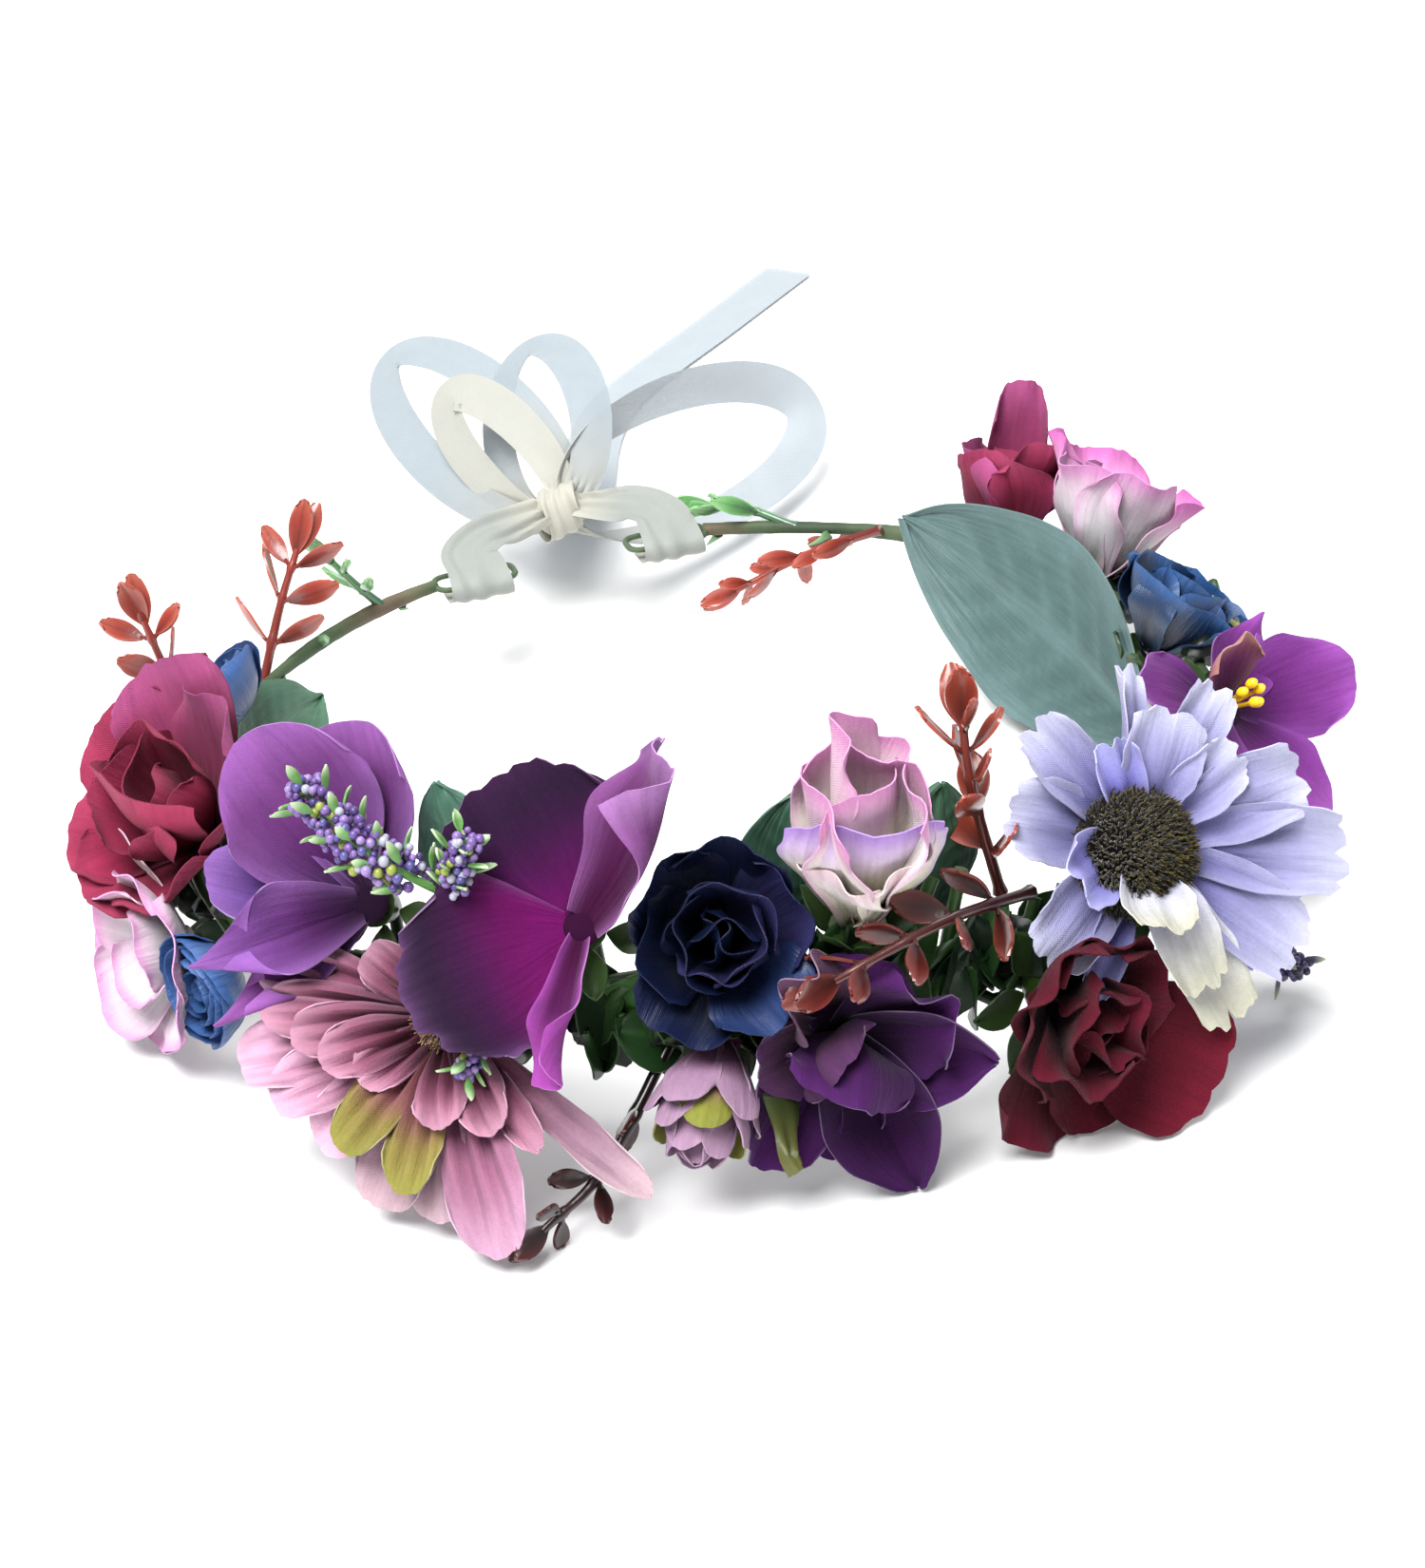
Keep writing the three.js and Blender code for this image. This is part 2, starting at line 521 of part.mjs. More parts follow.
// A blade from its base along +Y, with its upper face towards +Z. It bulges by arch, curls up
// at its tip by curl and lifts its edges by cup, each as a share of its length or width; tip is
// nearer 1 for a sharper point.
function blade({ length, width, arch = 0, curl = 0, cup = 0.15, tip = 0.95 }, grow, rows = 6) {
  const thick = PETAL / 2 + grow;
  const point = (u, v, side) => {
    const half = (width / 2) * Math.sin(Math.PI * (0.1 + (tip - 0.1) * v)) + grow;
    const x = (2 * u - 1) * half;
    const z = length * (2 * arch * v * (1 - v) + curl * v * v) + cup * Math.abs(x);
    return V(x, v * length + (2 * v - 1) * grow, z + side * thick);
  };
  return plate((u, v) => point(u, v, 1), (u, v) => point(u, v, -1), 2, rows);
}

// A blade's turn: its length along one direction and its face turned towards another.
function bladeTurn(along, face) {
  const y = along.clone().normalize();
  const x = new THREE.Vector3().crossVectors(y, face).normalize();
  const z = new THREE.Vector3().crossVectors(x, y);
  return new THREE.Quaternion().setFromRotationMatrix(new THREE.Matrix4().makeBasis(x, y, z));
}

const LEAVES = [
  { name: "leaf_inner_right", color: 0x5e8d80, from: [76, 79, 15], to: [134, 84, 31],
    face: [104, 25, 180], width: 36, arch: -0.17 },
  { name: "leaf_left_back", color: 0x47745c, from: [-112, 85, 24], to: [-138, 85, 17],
    face: [-125, 40, 180], width: 18 },
  { name: "leaf_front_left", color: 0x2f5c46, from: [-40, 86, 33], to: [-46, 84, 60],
    face: [-42, 10, 180], width: 19 },
  { name: "leaf_front_middle", color: 0x1f4a34, from: [-10, 86, 33], to: [-7, 83, 58],
    face: [-8, 10, 180], width: 18 },
  { name: "leaf_front_right", color: 0x1f4f38, from: [6, 86, 31], to: [9, 84, 54],
    face: [8, 10, 180], width: 17 },
];

function addLeaves() {
  for (const leaf of LEAVES) {
    const from = ringPoint(...leaf.from);
    const to = ringPoint(...leaf.to);
    const [around, lift, turn] = leaf.face;
    const along = to.clone().sub(from);
    place(leaf.name, leaf.color, (grow) => blade({ ...leaf, length: along.length() }, grow), {
      at: from, turn: bladeTurn(along, facing(around, lift, turn)), finish: { roughness: 0.55 },
    });
  }
}

// ---- sprigs and sprays ----

// A moulded sprig: a stem with pairs of small oval leaves and one at its tip.
function sprig({ stem, pairs, leaf = 8, spread = 0.9 }, grow) {
  const curve = through(...stem.map((p) => ringPoint(...p)));
  const parts = [rod(curve, 0.9 + grow, 5, 5)];
  const oval = (base, along, face, size) => {
    const seed = new THREE.SphereGeometry(1, 6, 3).scale(size * 0.3 + grow, size * 0.58 + grow, 0.7 + grow);
    seed.translate(0, size * 0.5, 0);
    parts.push(seed.applyQuaternion(bladeTurn(along, face)).translate(...base.toArray()));
  };
  for (let i = 0; i < pairs; i++) {
    const t = (i + 1) / (pairs + 0.6);
    const ahead = curve.getTangent(t);
    const swing = i % 2 ? V(0, 0, 1) : facing(stem[0][0], 0, 90);
    const side = new THREE.Vector3().crossVectors(ahead, swing).normalize();
    for (const s of [-1, 1])
      oval(curve.getPoint(t), ahead.clone().addScaledVector(side, s * spread), swing, leaf * (1 - 0.25 * t));
  }
  oval(curve.getPoint(0.97), curve.getTangent(1), facing(stem[0][0], 30), leaf * 0.9);
  return join(parts);
}

const SPRIGS = [
  { name: "sprig_upright", color: 0x9a3d2c,
    stem: [[15, 93, 36], [13, 90, 55], [14, 86, 70]], pairs: 3, leaf: 11 },
  { name: "sprig_front", color: 0x7a2e24,
    stem: [[13, 98, 38], [2, 105, 42], [-8, 109, 36]], pairs: 3, leaf: 9 },
  { name: "sprig_low", color: 0x4a1a1c,
    stem: [[-23, 96, 17], [-27, 109, 10], [-31, 119, 5]], pairs: 2, leaf: 9 },
  { name: "sprig_left", color: 0xb04438,
    stem: [[-122, 91, 27], [-118, 95, 37], [-115, 99, 48]], pairs: 2, leaf: 9 },
  { name: "sprig_left_back", color: 0xb8443a,
    stem: [[-136, 93, 22], [-139, 92, 34], [-142, 91, 42]], pairs: 3, leaf: 9 },
  { name: "sprig_right_back", color: 0xd05038,
    stem: [[138, 87, 26], [148, 86, 20], [158, 84, 13]], pairs: 3, leaf: 10 },
  { name: "twig_left", color: 0x7fae78,
    stem: [[-153, 91, 27], [-150, 92, 33], [-148, 92, 38]], pairs: 2, leaf: 8 },
  { name: "twig_right", color: 0x86b07a,
    stem: [[150, 92, 27], [155, 94, 28], [159, 95, 27]], pairs: 1, leaf: 9 },
];

// A berry spray: a stem with small beads set round it.
function beadSpray({ stem, beads, bead = 2.2, spread }, grow) {
  const curve = through(...stem.map((p) => ringPoint(...p)));
  const parts = [rod(curve, 1 + grow, 5, 5)];
  for (let i = 0; i < beads; i++) {
    const t = 0.35 + (0.65 * i) / (beads - 1);
    const a = i * 2.4; // the golden angle keeps neighbours apart
    const ahead = curve.getTangent(t);
    const side = new THREE.Vector3().crossVectors(ahead, UP).normalize();
    const over = new THREE.Vector3().crossVectors(side, ahead);
    const away = side.multiplyScalar(Math.cos(a)).addScaledVector(over, Math.sin(a)).multiplyScalar(spread);
    parts.push(moved(new THREE.IcosahedronGeometry(bead + grow, 0), curve.getPoint(t).add(away)));
  }
  return join(parts);
}

const SPRAYS = [
  { name: "berry_spray", color: 0x9a86c4,
    stem: [[-37, 99, 48], [-45, 105, 59], [-53, 102, 66]], beads: 16, spread: 2.7 },
  { name: "berry_tip_right", color: 0x3c2f5c,
    stem: [[37, 99, 20], [38, 108, 13], [39, 114, 7]], beads: 5, bead: 2, spread: 2.2 },
];

addVine();
addRibbon();
addFlowers();
addLeaves();
for (const s of SPRIGS) place(s.name, s.color, (grow) => sprig(s, grow), { finish: { roughness: 0.35 } });
for (const s of SPRAYS) place(s.name, s.color, (grow) => beadSpray(s, grow), { finish: { roughness: 0.4 } });

export default crown;
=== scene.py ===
"""The flower crown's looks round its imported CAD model, in the model's own frame: metres, +Z up,
the origin on the table under the middle of the ring, and the crown's front towards -Y. Shapes
are worked out in millimetres and turned into metres when a piece is made."""

import math
import random

import bpy
import numpy as np
from mathutils import Matrix, Vector


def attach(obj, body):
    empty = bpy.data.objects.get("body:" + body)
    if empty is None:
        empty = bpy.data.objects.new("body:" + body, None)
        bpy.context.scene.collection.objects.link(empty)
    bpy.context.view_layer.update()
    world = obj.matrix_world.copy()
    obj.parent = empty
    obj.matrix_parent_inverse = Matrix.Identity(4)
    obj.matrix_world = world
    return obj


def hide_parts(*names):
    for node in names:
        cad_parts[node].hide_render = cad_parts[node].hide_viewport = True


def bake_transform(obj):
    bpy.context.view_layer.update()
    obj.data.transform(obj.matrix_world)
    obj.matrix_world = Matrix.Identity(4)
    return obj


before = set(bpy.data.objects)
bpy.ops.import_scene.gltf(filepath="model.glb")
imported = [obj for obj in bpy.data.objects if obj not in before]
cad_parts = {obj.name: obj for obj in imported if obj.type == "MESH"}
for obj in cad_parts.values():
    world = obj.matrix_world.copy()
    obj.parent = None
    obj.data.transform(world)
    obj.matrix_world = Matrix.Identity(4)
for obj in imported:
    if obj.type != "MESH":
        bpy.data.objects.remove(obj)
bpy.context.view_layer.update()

MM = 0.001
UP = np.array((0.0, 0.0, 1.0))
RING_RADIUS, RING_HEIGHT, RING_END = 90, 24, 162
EYELET_HALF, EYELET_MIDDLE = 3.5, 19.81  # half its depth, and its distance from the middle
BAR_Y = RING_RADIUS * math.cos(math.radians(180 - RING_END)) + EYELET_HALF  # the eyelets' rear bars
KNOT = np.array((3, BAR_Y + 15, 26.0))
CLOTH = 0.25  # thickness of a petal's fabric
PRESS, FLATTEST = 1.5, 0.2  # cloth below the first height is pressed towards the second
TURN = 6.28  # radians, for phases and waves
GOLDEN = 2.39996  # radians between neighbours that spread evenly round a middle


# ---- directions and curves ----


def ring_point(around, out=RING_RADIUS, up=RING_HEIGHT):
    """A point by degrees round the ring from the front, distance from its axis, and height."""
    a = math.radians(around)
    return np.array((out * math.sin(a), -out * math.cos(a), up), float)


def facing(around, lift=0, turn=0):
    """The direction outwards at that place, lifted above the level and turned about +Z."""
    a, level = math.radians(around + turn), math.cos(math.radians(lift))
    return np.array((math.sin(a) * level, -math.cos(a) * level, math.sin(math.radians(lift))))


def unit(v):
    return v / np.maximum(np.linalg.norm(v, axis=-1, keepdims=True), 1e-9)


def axis_turn(axis):
    """Columns that carry +Z to axis and keep +X level."""
    z = unit(axis)
    x = unit(np.cross(UP, z)) if abs(z[2]) < 0.999 else np.array((1.0, 0, 0))
    return np.stack([x, np.cross(z, x), z], 1)


def blade_turn(along, face):
    """Columns that carry +Y along one direction, with +Z on the side of face."""
    y = unit(along)
    x = unit(np.cross(y, face))
    return np.stack([x, y, np.cross(x, y)], 1)


def through(keys, t):
    """A smooth curve at places t through keys of (place, value), or through bare points."""
    if len(np.shape(keys[0])) and len(keys[0]) == 2:
        place, value = np.array([k[0] for k in keys], float), np.array([k[1] for k in keys], float)
    else:
        place, value = np.linspace(0, 1, len(keys)), np.array(keys, float)
    slope = np.gradient(value, place, axis=0)
    t = np.clip(np.asarray(t, float), place[0], place[-1])
    i = np.clip(np.searchsorted(place, t, side="right") - 1, 0, len(place) - 2)
    h = place[i + 1] - place[i]
    s = (t - place[i]) / h
    if value.ndim > 1:
        s, h = s[..., None], h[..., None]
    rise = value[i + 1] * (3 - 2 * s) * s**2 + value[i] * (1 + 2 * s) * (1 - s) ** 2
    return rise + h * (slope[i] * s * (1 - s) ** 2 - slope[i + 1] * s**2 * (1 - s))


def step(low, high, x):
    """0 below low, 1 above high, and smooth between."""
    t = np.clip((x - low) / (high - low), 0, 1)
    return t * t * (3 - 2 * t)


def ripple(rng, x, y, size, count=5):
    """Gentle random relief from -1 to 1, with bumps about size across."""
    total = 0
    for _ in range(count):
        a, phase, k = rng.uniform(0, TURN), rng.uniform(0, TURN), rng.uniform(0.6, 1.5)
        total = total + np.sin(TURN / 2 * k / size * (x * math.cos(a) + y * math.sin(a)) + phase)
    return total / count


def tone(code):
    """A colour written as six hex digits, as linear light."""
    c = np.array([int(code[i : i + 2], 16) for i in (0, 2, 4)]) / 255
    return np.where(c > 0.04, ((c + 0.055) / 1.055) ** 2.4, c / 12.92)


def grade(keys, t):
    """Colours at places t along keys of (place, colour code)."""
    place = [k[0] for k in keys]
    tones = np.array([tone(k[1]) for k in keys])
    return np.stack([np.interp(t, place, tones[:, c]) for c in range(3)], -1)


# ---- meshes ----


def linked(name, data):
    """A new object in the scene."""
    made = bpy.data.objects.new(name, data)
    bpy.context.scene.collection.objects.link(made)
    return made


class Shape:
    """Faces gathered into one mesh, each point with a colour and a place on its cloth, in mm."""

    def __init__(self):
        self.points, self.tints, self.cloth, self.faces, self.slots = [], [], [], [], []
        self.count = 0

    def add(self, points, faces, tint, cloth=None, slot=0):
        """faces are quads or triangles; slot is one material number, or one for each face."""
        points = np.asarray(points, float).reshape(-1, 3)
        n = len(points)
        self.points.append(points)
        self.tints.append(np.broadcast_to(tint, (n, 3)))
        self.cloth.append(np.zeros((n, 2)) if cloth is None else cloth)
        self.faces += [tuple(int(i) + self.count for i in f) for f in faces]
        self.slots += list(np.broadcast_to(slot, len(faces)))
        self.count += n

    def sheet(self, grid, tint, cloth, thick=CLOTH):
        """A closed skin round a grid of points: its front, its back and the cut edge."""
        rows, cols = grid.shape[:2]
        normal = unit(np.cross(np.gradient(grid, axis=1), np.gradient(grid, axis=0)))
        at = np.arange(rows * cols).reshape(rows, cols)
        front = np.stack([at[:-1, :-1], at[:-1, 1:], at[1:, 1:], at[1:, :-1]], -1).reshape(-1, 4)
        loop = np.concatenate([at[0, :-1], at[:-1, -1], at[-1, :0:-1], at[:0:-1, 0]])
        ahead = np.roll(loop, -1)
        behind = rows * cols
        edge = np.stack([loop, loop + behind, ahead + behind, ahead], -1)
        points = np.concatenate([grid + normal * thick / 2, grid - normal * thick / 2])
        faces = np.concatenate([front, front[:, ::-1] + behind, edge])
        slot = np.repeat([0, 1], [2 * len(front), len(edge)])
        tint = np.broadcast_to(tint, (*grid.shape[:2], 3)).reshape(-1, 3)
        cloth = np.broadcast_to(cloth, (*grid.shape[:2], 2)).reshape(-1, 2)
        self.add(points, faces, np.tile(tint, (2, 1)), np.tile(cloth, (2, 1)), slot)

    def tube(self, path, radius, tint, sides=8, swell=None):
        """A round rod along a path, closed at both ends. swell(along, round) scales its radius."""
        path = np.asarray(path, float)
        n = len(path)
        radius = np.broadcast_to(radius, n)
        ahead = unit(np.gradient(path, axis=0))
        side = np.cross(ahead[0], UP if abs(ahead[0][2]) < 0.9 else (1, 0, 0))
        sides_at = []
        for d in ahead:
            side = unit(side - d * np.dot(side, d))
            sides_at.append(side)
        across = np.array(sides_at)
        over = np.cross(ahead, across)
        a = np.arange(sides) * 2 * math.pi / sides
        size = radius[:, None] * (1 if swell is None else swell(np.linspace(0, 1, n)[:, None], a[None]))
        size = np.broadcast_to(size, (n, sides))[..., None]
        outwards = np.cos(a)[:, None] * across[:, None] + np.sin(a)[:, None] * over[:, None]
        ring = path[:, None] + size * outwards
        at = np.arange(n * sides).reshape(n, sides)
        turn = np.roll(at, -1, 1)
        faces = list(np.stack([at[:-1], turn[:-1], turn[1:], at[1:]], -1).reshape(-1, 4))
        faces += [(n * sides, turn[0, k], at[0, k]) for k in range(sides)]
        faces += [(n * sides + 1, at[-1, k], turn[-1, k]) for k in range(sides)]
        tint = np.broadcast_to(tint, (n, 3))
        tints = np.concatenate([np.repeat(tint, sides, 0), tint[:1], tint[-1:]])
        length = np.concatenate([[0], np.cumsum(np.linalg.norm(np.diff(path, axis=0), axis=1))])
        cloth = np.stack([np.tile(a * radius.mean(), n), np.repeat(length, sides)], -1)
        cloth = np.concatenate([cloth, cloth[:1], cloth[-1:]])
        self.add(np.concatenate([ring.reshape(-1, 3), path[:1], path[-1:]]), faces, tints, cloth)

    def ball(self, centre, radii, tint, turn=np.eye(3), rows=6, cols=8, bumps=None):
        """A closed ball or egg. bumps(latitude, longitude) scales its radius."""
        lat = np.linspace(0, math.pi, rows + 1)[1:-1, None]
        lon = np.arange(cols)[None] * 2 * math.pi / cols
        r = 1 if bumps is None else bumps(lat, lon)
        x, y = r * np.sin(lat) * np.cos(lon), r * np.sin(lat) * np.sin(lon)
        p = np.stack([x, y, r * np.cos(lat) + 0 * lon], -1)
        p = np.concatenate([p.reshape(-1, 3), [(0, 0, 1), (0, 0, -1)]]) * radii
        at = np.arange((rows - 1) * cols).reshape(rows - 1, cols)
        turned = np.roll(at, -1, 1)
        top, low = (rows - 1) * cols, (rows - 1) * cols + 1
        faces = list(np.stack([at[:-1], at[1:], turned[1:], turned[:-1]], -1).reshape(-1, 4))
        faces += [(top, at[0, k], turned[0, k]) for k in range(cols)]
        faces += [(low, turned[-1, k], at[-1, k]) for k in range(cols)]
        self.add(p @ turn.T + centre, faces, tint)

    def piece(self, name, materials, body, solid, crease=50):
        """The finished object, riding on a body and standing for a CAD node."""
        mesh = bpy.data.meshes.new(name)
        points = np.concatenate(self.points)
        low = points[:, 2] < PRESS
        room = PRESS - FLATTEST
        points[low, 2] = FLATTEST + room * np.exp((points[low, 2] - PRESS) / room)
        points *= MM
        mesh.from_pydata(points.tolist(), [], self.faces)
        tints = np.ones((len(points), 4))
        tints[:, :3] = np.concatenate(self.tints)
        tint = mesh.color_attributes.new("tint", "FLOAT_COLOR", "POINT")
        tint.data.foreach_set("color", tints.ravel())
        corner = np.zeros(len(mesh.loops), int)
        mesh.loops.foreach_get("vertex_index", corner)
        cloth = np.concatenate(self.cloth)[corner]
        mesh.uv_layers.new(name="cloth").data.foreach_set("uv", cloth.ravel())
        for m in materials:
            mesh.materials.append(m)
        mesh.polygons.foreach_set("material_index", np.minimum(self.slots, len(materials) - 1))
        mesh.polygons.foreach_set("use_smooth", np.ones(len(mesh.polygons), bool))
        mesh.set_sharp_from_angle(angle=math.radians(crease))
        mesh.update()
        made = linked(name, mesh)
        if body:
            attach(made, body)
        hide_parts(solid)
        return made


# ---- materials ----


def material(name, **constants):
    """A new material, its node tree and its shader, with numbers set on the shader's sockets."""
    made = bpy.data.materials.new(name)
    made.use_nodes = True
    shader = made.node_tree.nodes["Principled BSDF"]
    for socket, value in constants.items():
        shader.inputs[socket.replace("_", " ")].default_value = value
    return made, made.node_tree, shader


def node(tree, kind, settings=(), **inputs):
    """A node with its settings, and its inputs set to numbers or linked to sockets."""
    made = tree.nodes.new("ShaderNode" + kind)
    for key, value in dict(settings).items():
        setattr(made, key, value)
    for key, value in inputs.items():
        key = int(key[1:]) if key[0] == "i" and key[1:].isdigit() else key.replace("_", " ")
        if isinstance(value, bpy.types.NodeSocket):
            tree.links.new(value, made.inputs[key])
        else:
            made.inputs[key].default_value = value
    return made.outputs[0]


def maths(tree, operation, a, b=0.0):
    return node(tree, "Math", {"operation": operation}, i0=a, i1=b)


def share(tree, amount, wave):
    """Values round 1 that a wave from 0 to 1 varies by this amount."""
    return maths(tree, "ADD", maths(tree, "MULTIPLY", wave, amount), 1 - amount / 2)


def scaled(tree, colour, value):
    return node(tree, "VectorMath", {"operation": "SCALE"}, i0=colour, Scale=value)


def tinted(tree, fine, coarse):
    """The points' own colour, with fine and coarse mottling of these shares."""
    tint = node(tree, "Attribute", {"attribute_name": "tint"})
    place = tree.nodes.new("ShaderNodeTexCoord").outputs["Object"]
    small = node(tree, "TexNoise", Vector=place, Scale=1500.0, Detail=3.0)
    large = node(tree, "TexNoise", Vector=place, Scale=160.0, Detail=4.0)
    both = maths(tree, "MULTIPLY", share(tree, fine, small), share(tree, coarse, large))
    return scaled(tree, tint, both), small, place


def weave(tree, pitch):
    """The cloth's own coordinates, and threads that cross on them, from 0 to 1."""
    cloth = node(tree, "UVMap", {"uv_map": "cloth"})
    parts = node(tree, "SeparateXYZ", (), Vector=cloth).node.outputs
    waves = [maths(tree, "SINE", maths(tree, "MULTIPLY", parts[k], 6.283 / pitch)) for k in (0, 1)]
    crossed = maths(tree, "MULTIPLY", maths(tree, "MULTIPLY", *waves), 0.5)
    return cloth, maths(tree, "ADD", crossed, 0.5)


def surface(tree, shader, colour, strength, depth, height, **below):
    """Joins a colour, and relief of this depth in metres, to the shader."""
    tree.links.new(colour, shader.inputs["Base Color"])
    relief = node(tree, "Bump", Strength=strength, Distance=depth, Height=height, **below)
    tree.links.new(relief, shader.inputs["Normal"])


STREAKS = 0.5  # how much the cloth's colour varies along its threads


def fabric(name, pitch=0.45, bump=0.5, threads=0.16, worn=None, coarse=0.4, **constants):
    """Woven petal cloth. worn is how much of another colour a cut edge shows, and its code."""
    made, tree, shader = material(name, **constants)
    colour, small, _ = tinted(tree, 0.25, coarse)
    cloth, cross = weave(tree, pitch)
    drawn_out = node(tree, "Mapping", Vector=cloth, Scale=(0.8, 0.07, 1))
    streak = node(tree, "TexNoise", Vector=drawn_out, Scale=1.0, Detail=3.0)
    shade = maths(tree, "MULTIPLY", share(tree, threads, cross), share(tree, STREAKS, streak))
    colour = scaled(tree, colour, shade)
    if worn:
        other = node(tree, "RGB")
        other.node.outputs[0].default_value = (*tone(worn[1]), 1)
        colour = node(tree, "Mix", {"data_type": "RGBA"}, i0=worn[0], i6=colour, i7=other).node.outputs[2]
    creased = node(tree, "Bump", Strength=0.7, Distance=0.0007, Height=streak)
    height = maths(tree, "ADD", cross, maths(tree, "MULTIPLY", small, 0.8))
    surface(tree, shader, colour, bump, 0.00014, height, Normal=creased)
    return made


def moulded(name, bump=0.25, coarse=0.4, **constants):
    """Moulded plastic, slightly uneven."""
    made, tree, shader = material(name, **constants)
    colour, small, place = tinted(tree, 0.2, coarse)
    flow = node(tree, "TexNoise", Vector=place, Scale=500.0, Detail=2.0)
    height = maths(tree, "ADD", maths(tree, "MULTIPLY", small, 0.3), flow)
    surface(tree, shader, colour, bump, 0.0003, height)
    return made


def organza(name, cover, **constants):
    """Sheer ribbon: cover is how much of it the threads hide."""
    made, tree, shader = material(name, **constants)
    colour, small, _ = tinted(tree, 0.06, 0.1)
    _, cross = weave(tree, 0.5)
    surface(tree, shader, colour, 0.3, 0.0001, maths(tree, "ADD", cross, small))
    threads = maths(tree, "ADD", maths(tree, "MULTIPLY", cross, 0.2), cover - 0.1)
    tree.links.new(threads, shader.inputs["Alpha"])
    return made


soft = dict(Roughness=0.85, Sheen_Weight=0.05, Sheen_Roughness=0.4, Specular_IOR_Level=0.15)
PETAL = [fabric("petal_cloth", **soft), fabric("petal_edge", worn=(0.1, "e8dcec"), **soft)]
VELVET = [
    fabric("velvet_cloth", pitch=0.35, threads=0.1, Roughness=0.9, Sheen_Weight=0.06, Sheen_Roughness=0.35,
           Specular_IOR_Level=0.08),
    fabric("velvet_edge", worn=(0.2, "e0b8e0"), **soft),
]
ROSE_CLOTH = [
    fabric("rose_cloth", coarse=0.6, bump=0.7, **soft),
    fabric("rose_edge", worn=(0.45, "180208"), **soft),
]
SATIN = [
    fabric("satin_cloth", threads=0.08, bump=0.3, Roughness=0.38, Specular_IOR_Level=0.5),
    fabric("satin_edge", worn=(0.5, "060c24"), Roughness=0.6, Specular_IOR_Level=0.2),
]
LEAF_CLOTH = [
    fabric("leaf_cloth", pitch=0.4, threads=0.06, bump=0.25, Roughness=0.5, Sheen_Weight=0.03,
           Specular_IOR_Level=0.4),
    fabric("leaf_edge", worn=(0.1, "a0b8a8"), Roughness=0.6),
]
PLASTIC = [moulded("leaf_plastic", Roughness=0.28, Coat_Weight=0.4, Coat_Roughness=0.2,
                   Specular_IOR_Level=0.5)]
CALYX = [moulded("calyx_plastic", Roughness=0.4, Specular_IOR_Level=0.4)]
BEADS = [moulded("bead_plastic", bump=0.15, Roughness=0.35, Specular_IOR_Level=0.5)]
FUZZ = [moulded("plush", bump=0.1, Roughness=0.95, Sheen_Weight=0.3, Specular_IOR_Level=0.05)]
TAPE = [moulded("vine_tape", bump=0.6, coarse=0.9, Roughness=0.6, Specular_IOR_Level=0.3)]
WIRE = [moulded("covered_wire", bump=0.4, coarse=0.3, Roughness=0.6, Specular_IOR_Level=0.3)]
RIBBON = [organza("sheer_ribbon", 0.78, Roughness=0.6, Sheen_Weight=0.1, Specular_IOR_Level=0.3)]
FOLDED_RIBBON = [organza("folded_ribbon", 0.93, Roughness=0.55, Sheen_Weight=0.1, Specular_IOR_Level=0.35)]


# ---- petals ----

# Half-widths as shares, from the base of a petal to its tip.
OUTLINES = {
    "round": [(0, 0.22), (0.15, 0.52), (0.4, 0.9), (0.65, 1), (1, 0.88)],
    "spoon": [(0, 0.34), (0.3, 0.66), (0.6, 0.94), (0.85, 1), (1, 0.94)],
    "strap": [(0, 0.36), (0.25, 0.7), (0.6, 1), (1, 0.94)],
    "point": [(0, 0.4), (0.25, 0.82), (0.5, 1), (0.75, 0.76), (0.92, 0.36), (1, 0.08)],
    "fan": [(0, 0.3), (0.3, 0.66), (0.65, 1), (1, 0.94)],
    "oval": [(0, 0.25), (0.25, 0.78), (0.5, 1), (0.78, 0.86), (0.93, 0.6), (1, 0.4)],
    "leaf": [(0, 0.1), (0.2, 0.62), (0.45, 1), (0.7, 0.84), (0.9, 0.42), (1, 0.03)],
}
ARC_STEPS = 80  # in which a petal's bend is added up
TUCK = 1.5  # how far a petal's base reaches into the hub
BUD_ARC = 128  # degrees from the bottom of a bud to its rim


def spread(steps):
    """Places across a petal, from -1 to 1, and along it, from 0 to 1."""
    rows, cols = steps
    across = np.linspace(-1, 1, cols + 1)[None] + np.zeros((rows + 1, 1))
    return across, np.linspace(0, 1, rows + 1)[:, None]


def midrib(u, narrow):
    """1 along a leaf's middle, and 0 away from it."""
    return np.exp(-((u * narrow) ** 2))


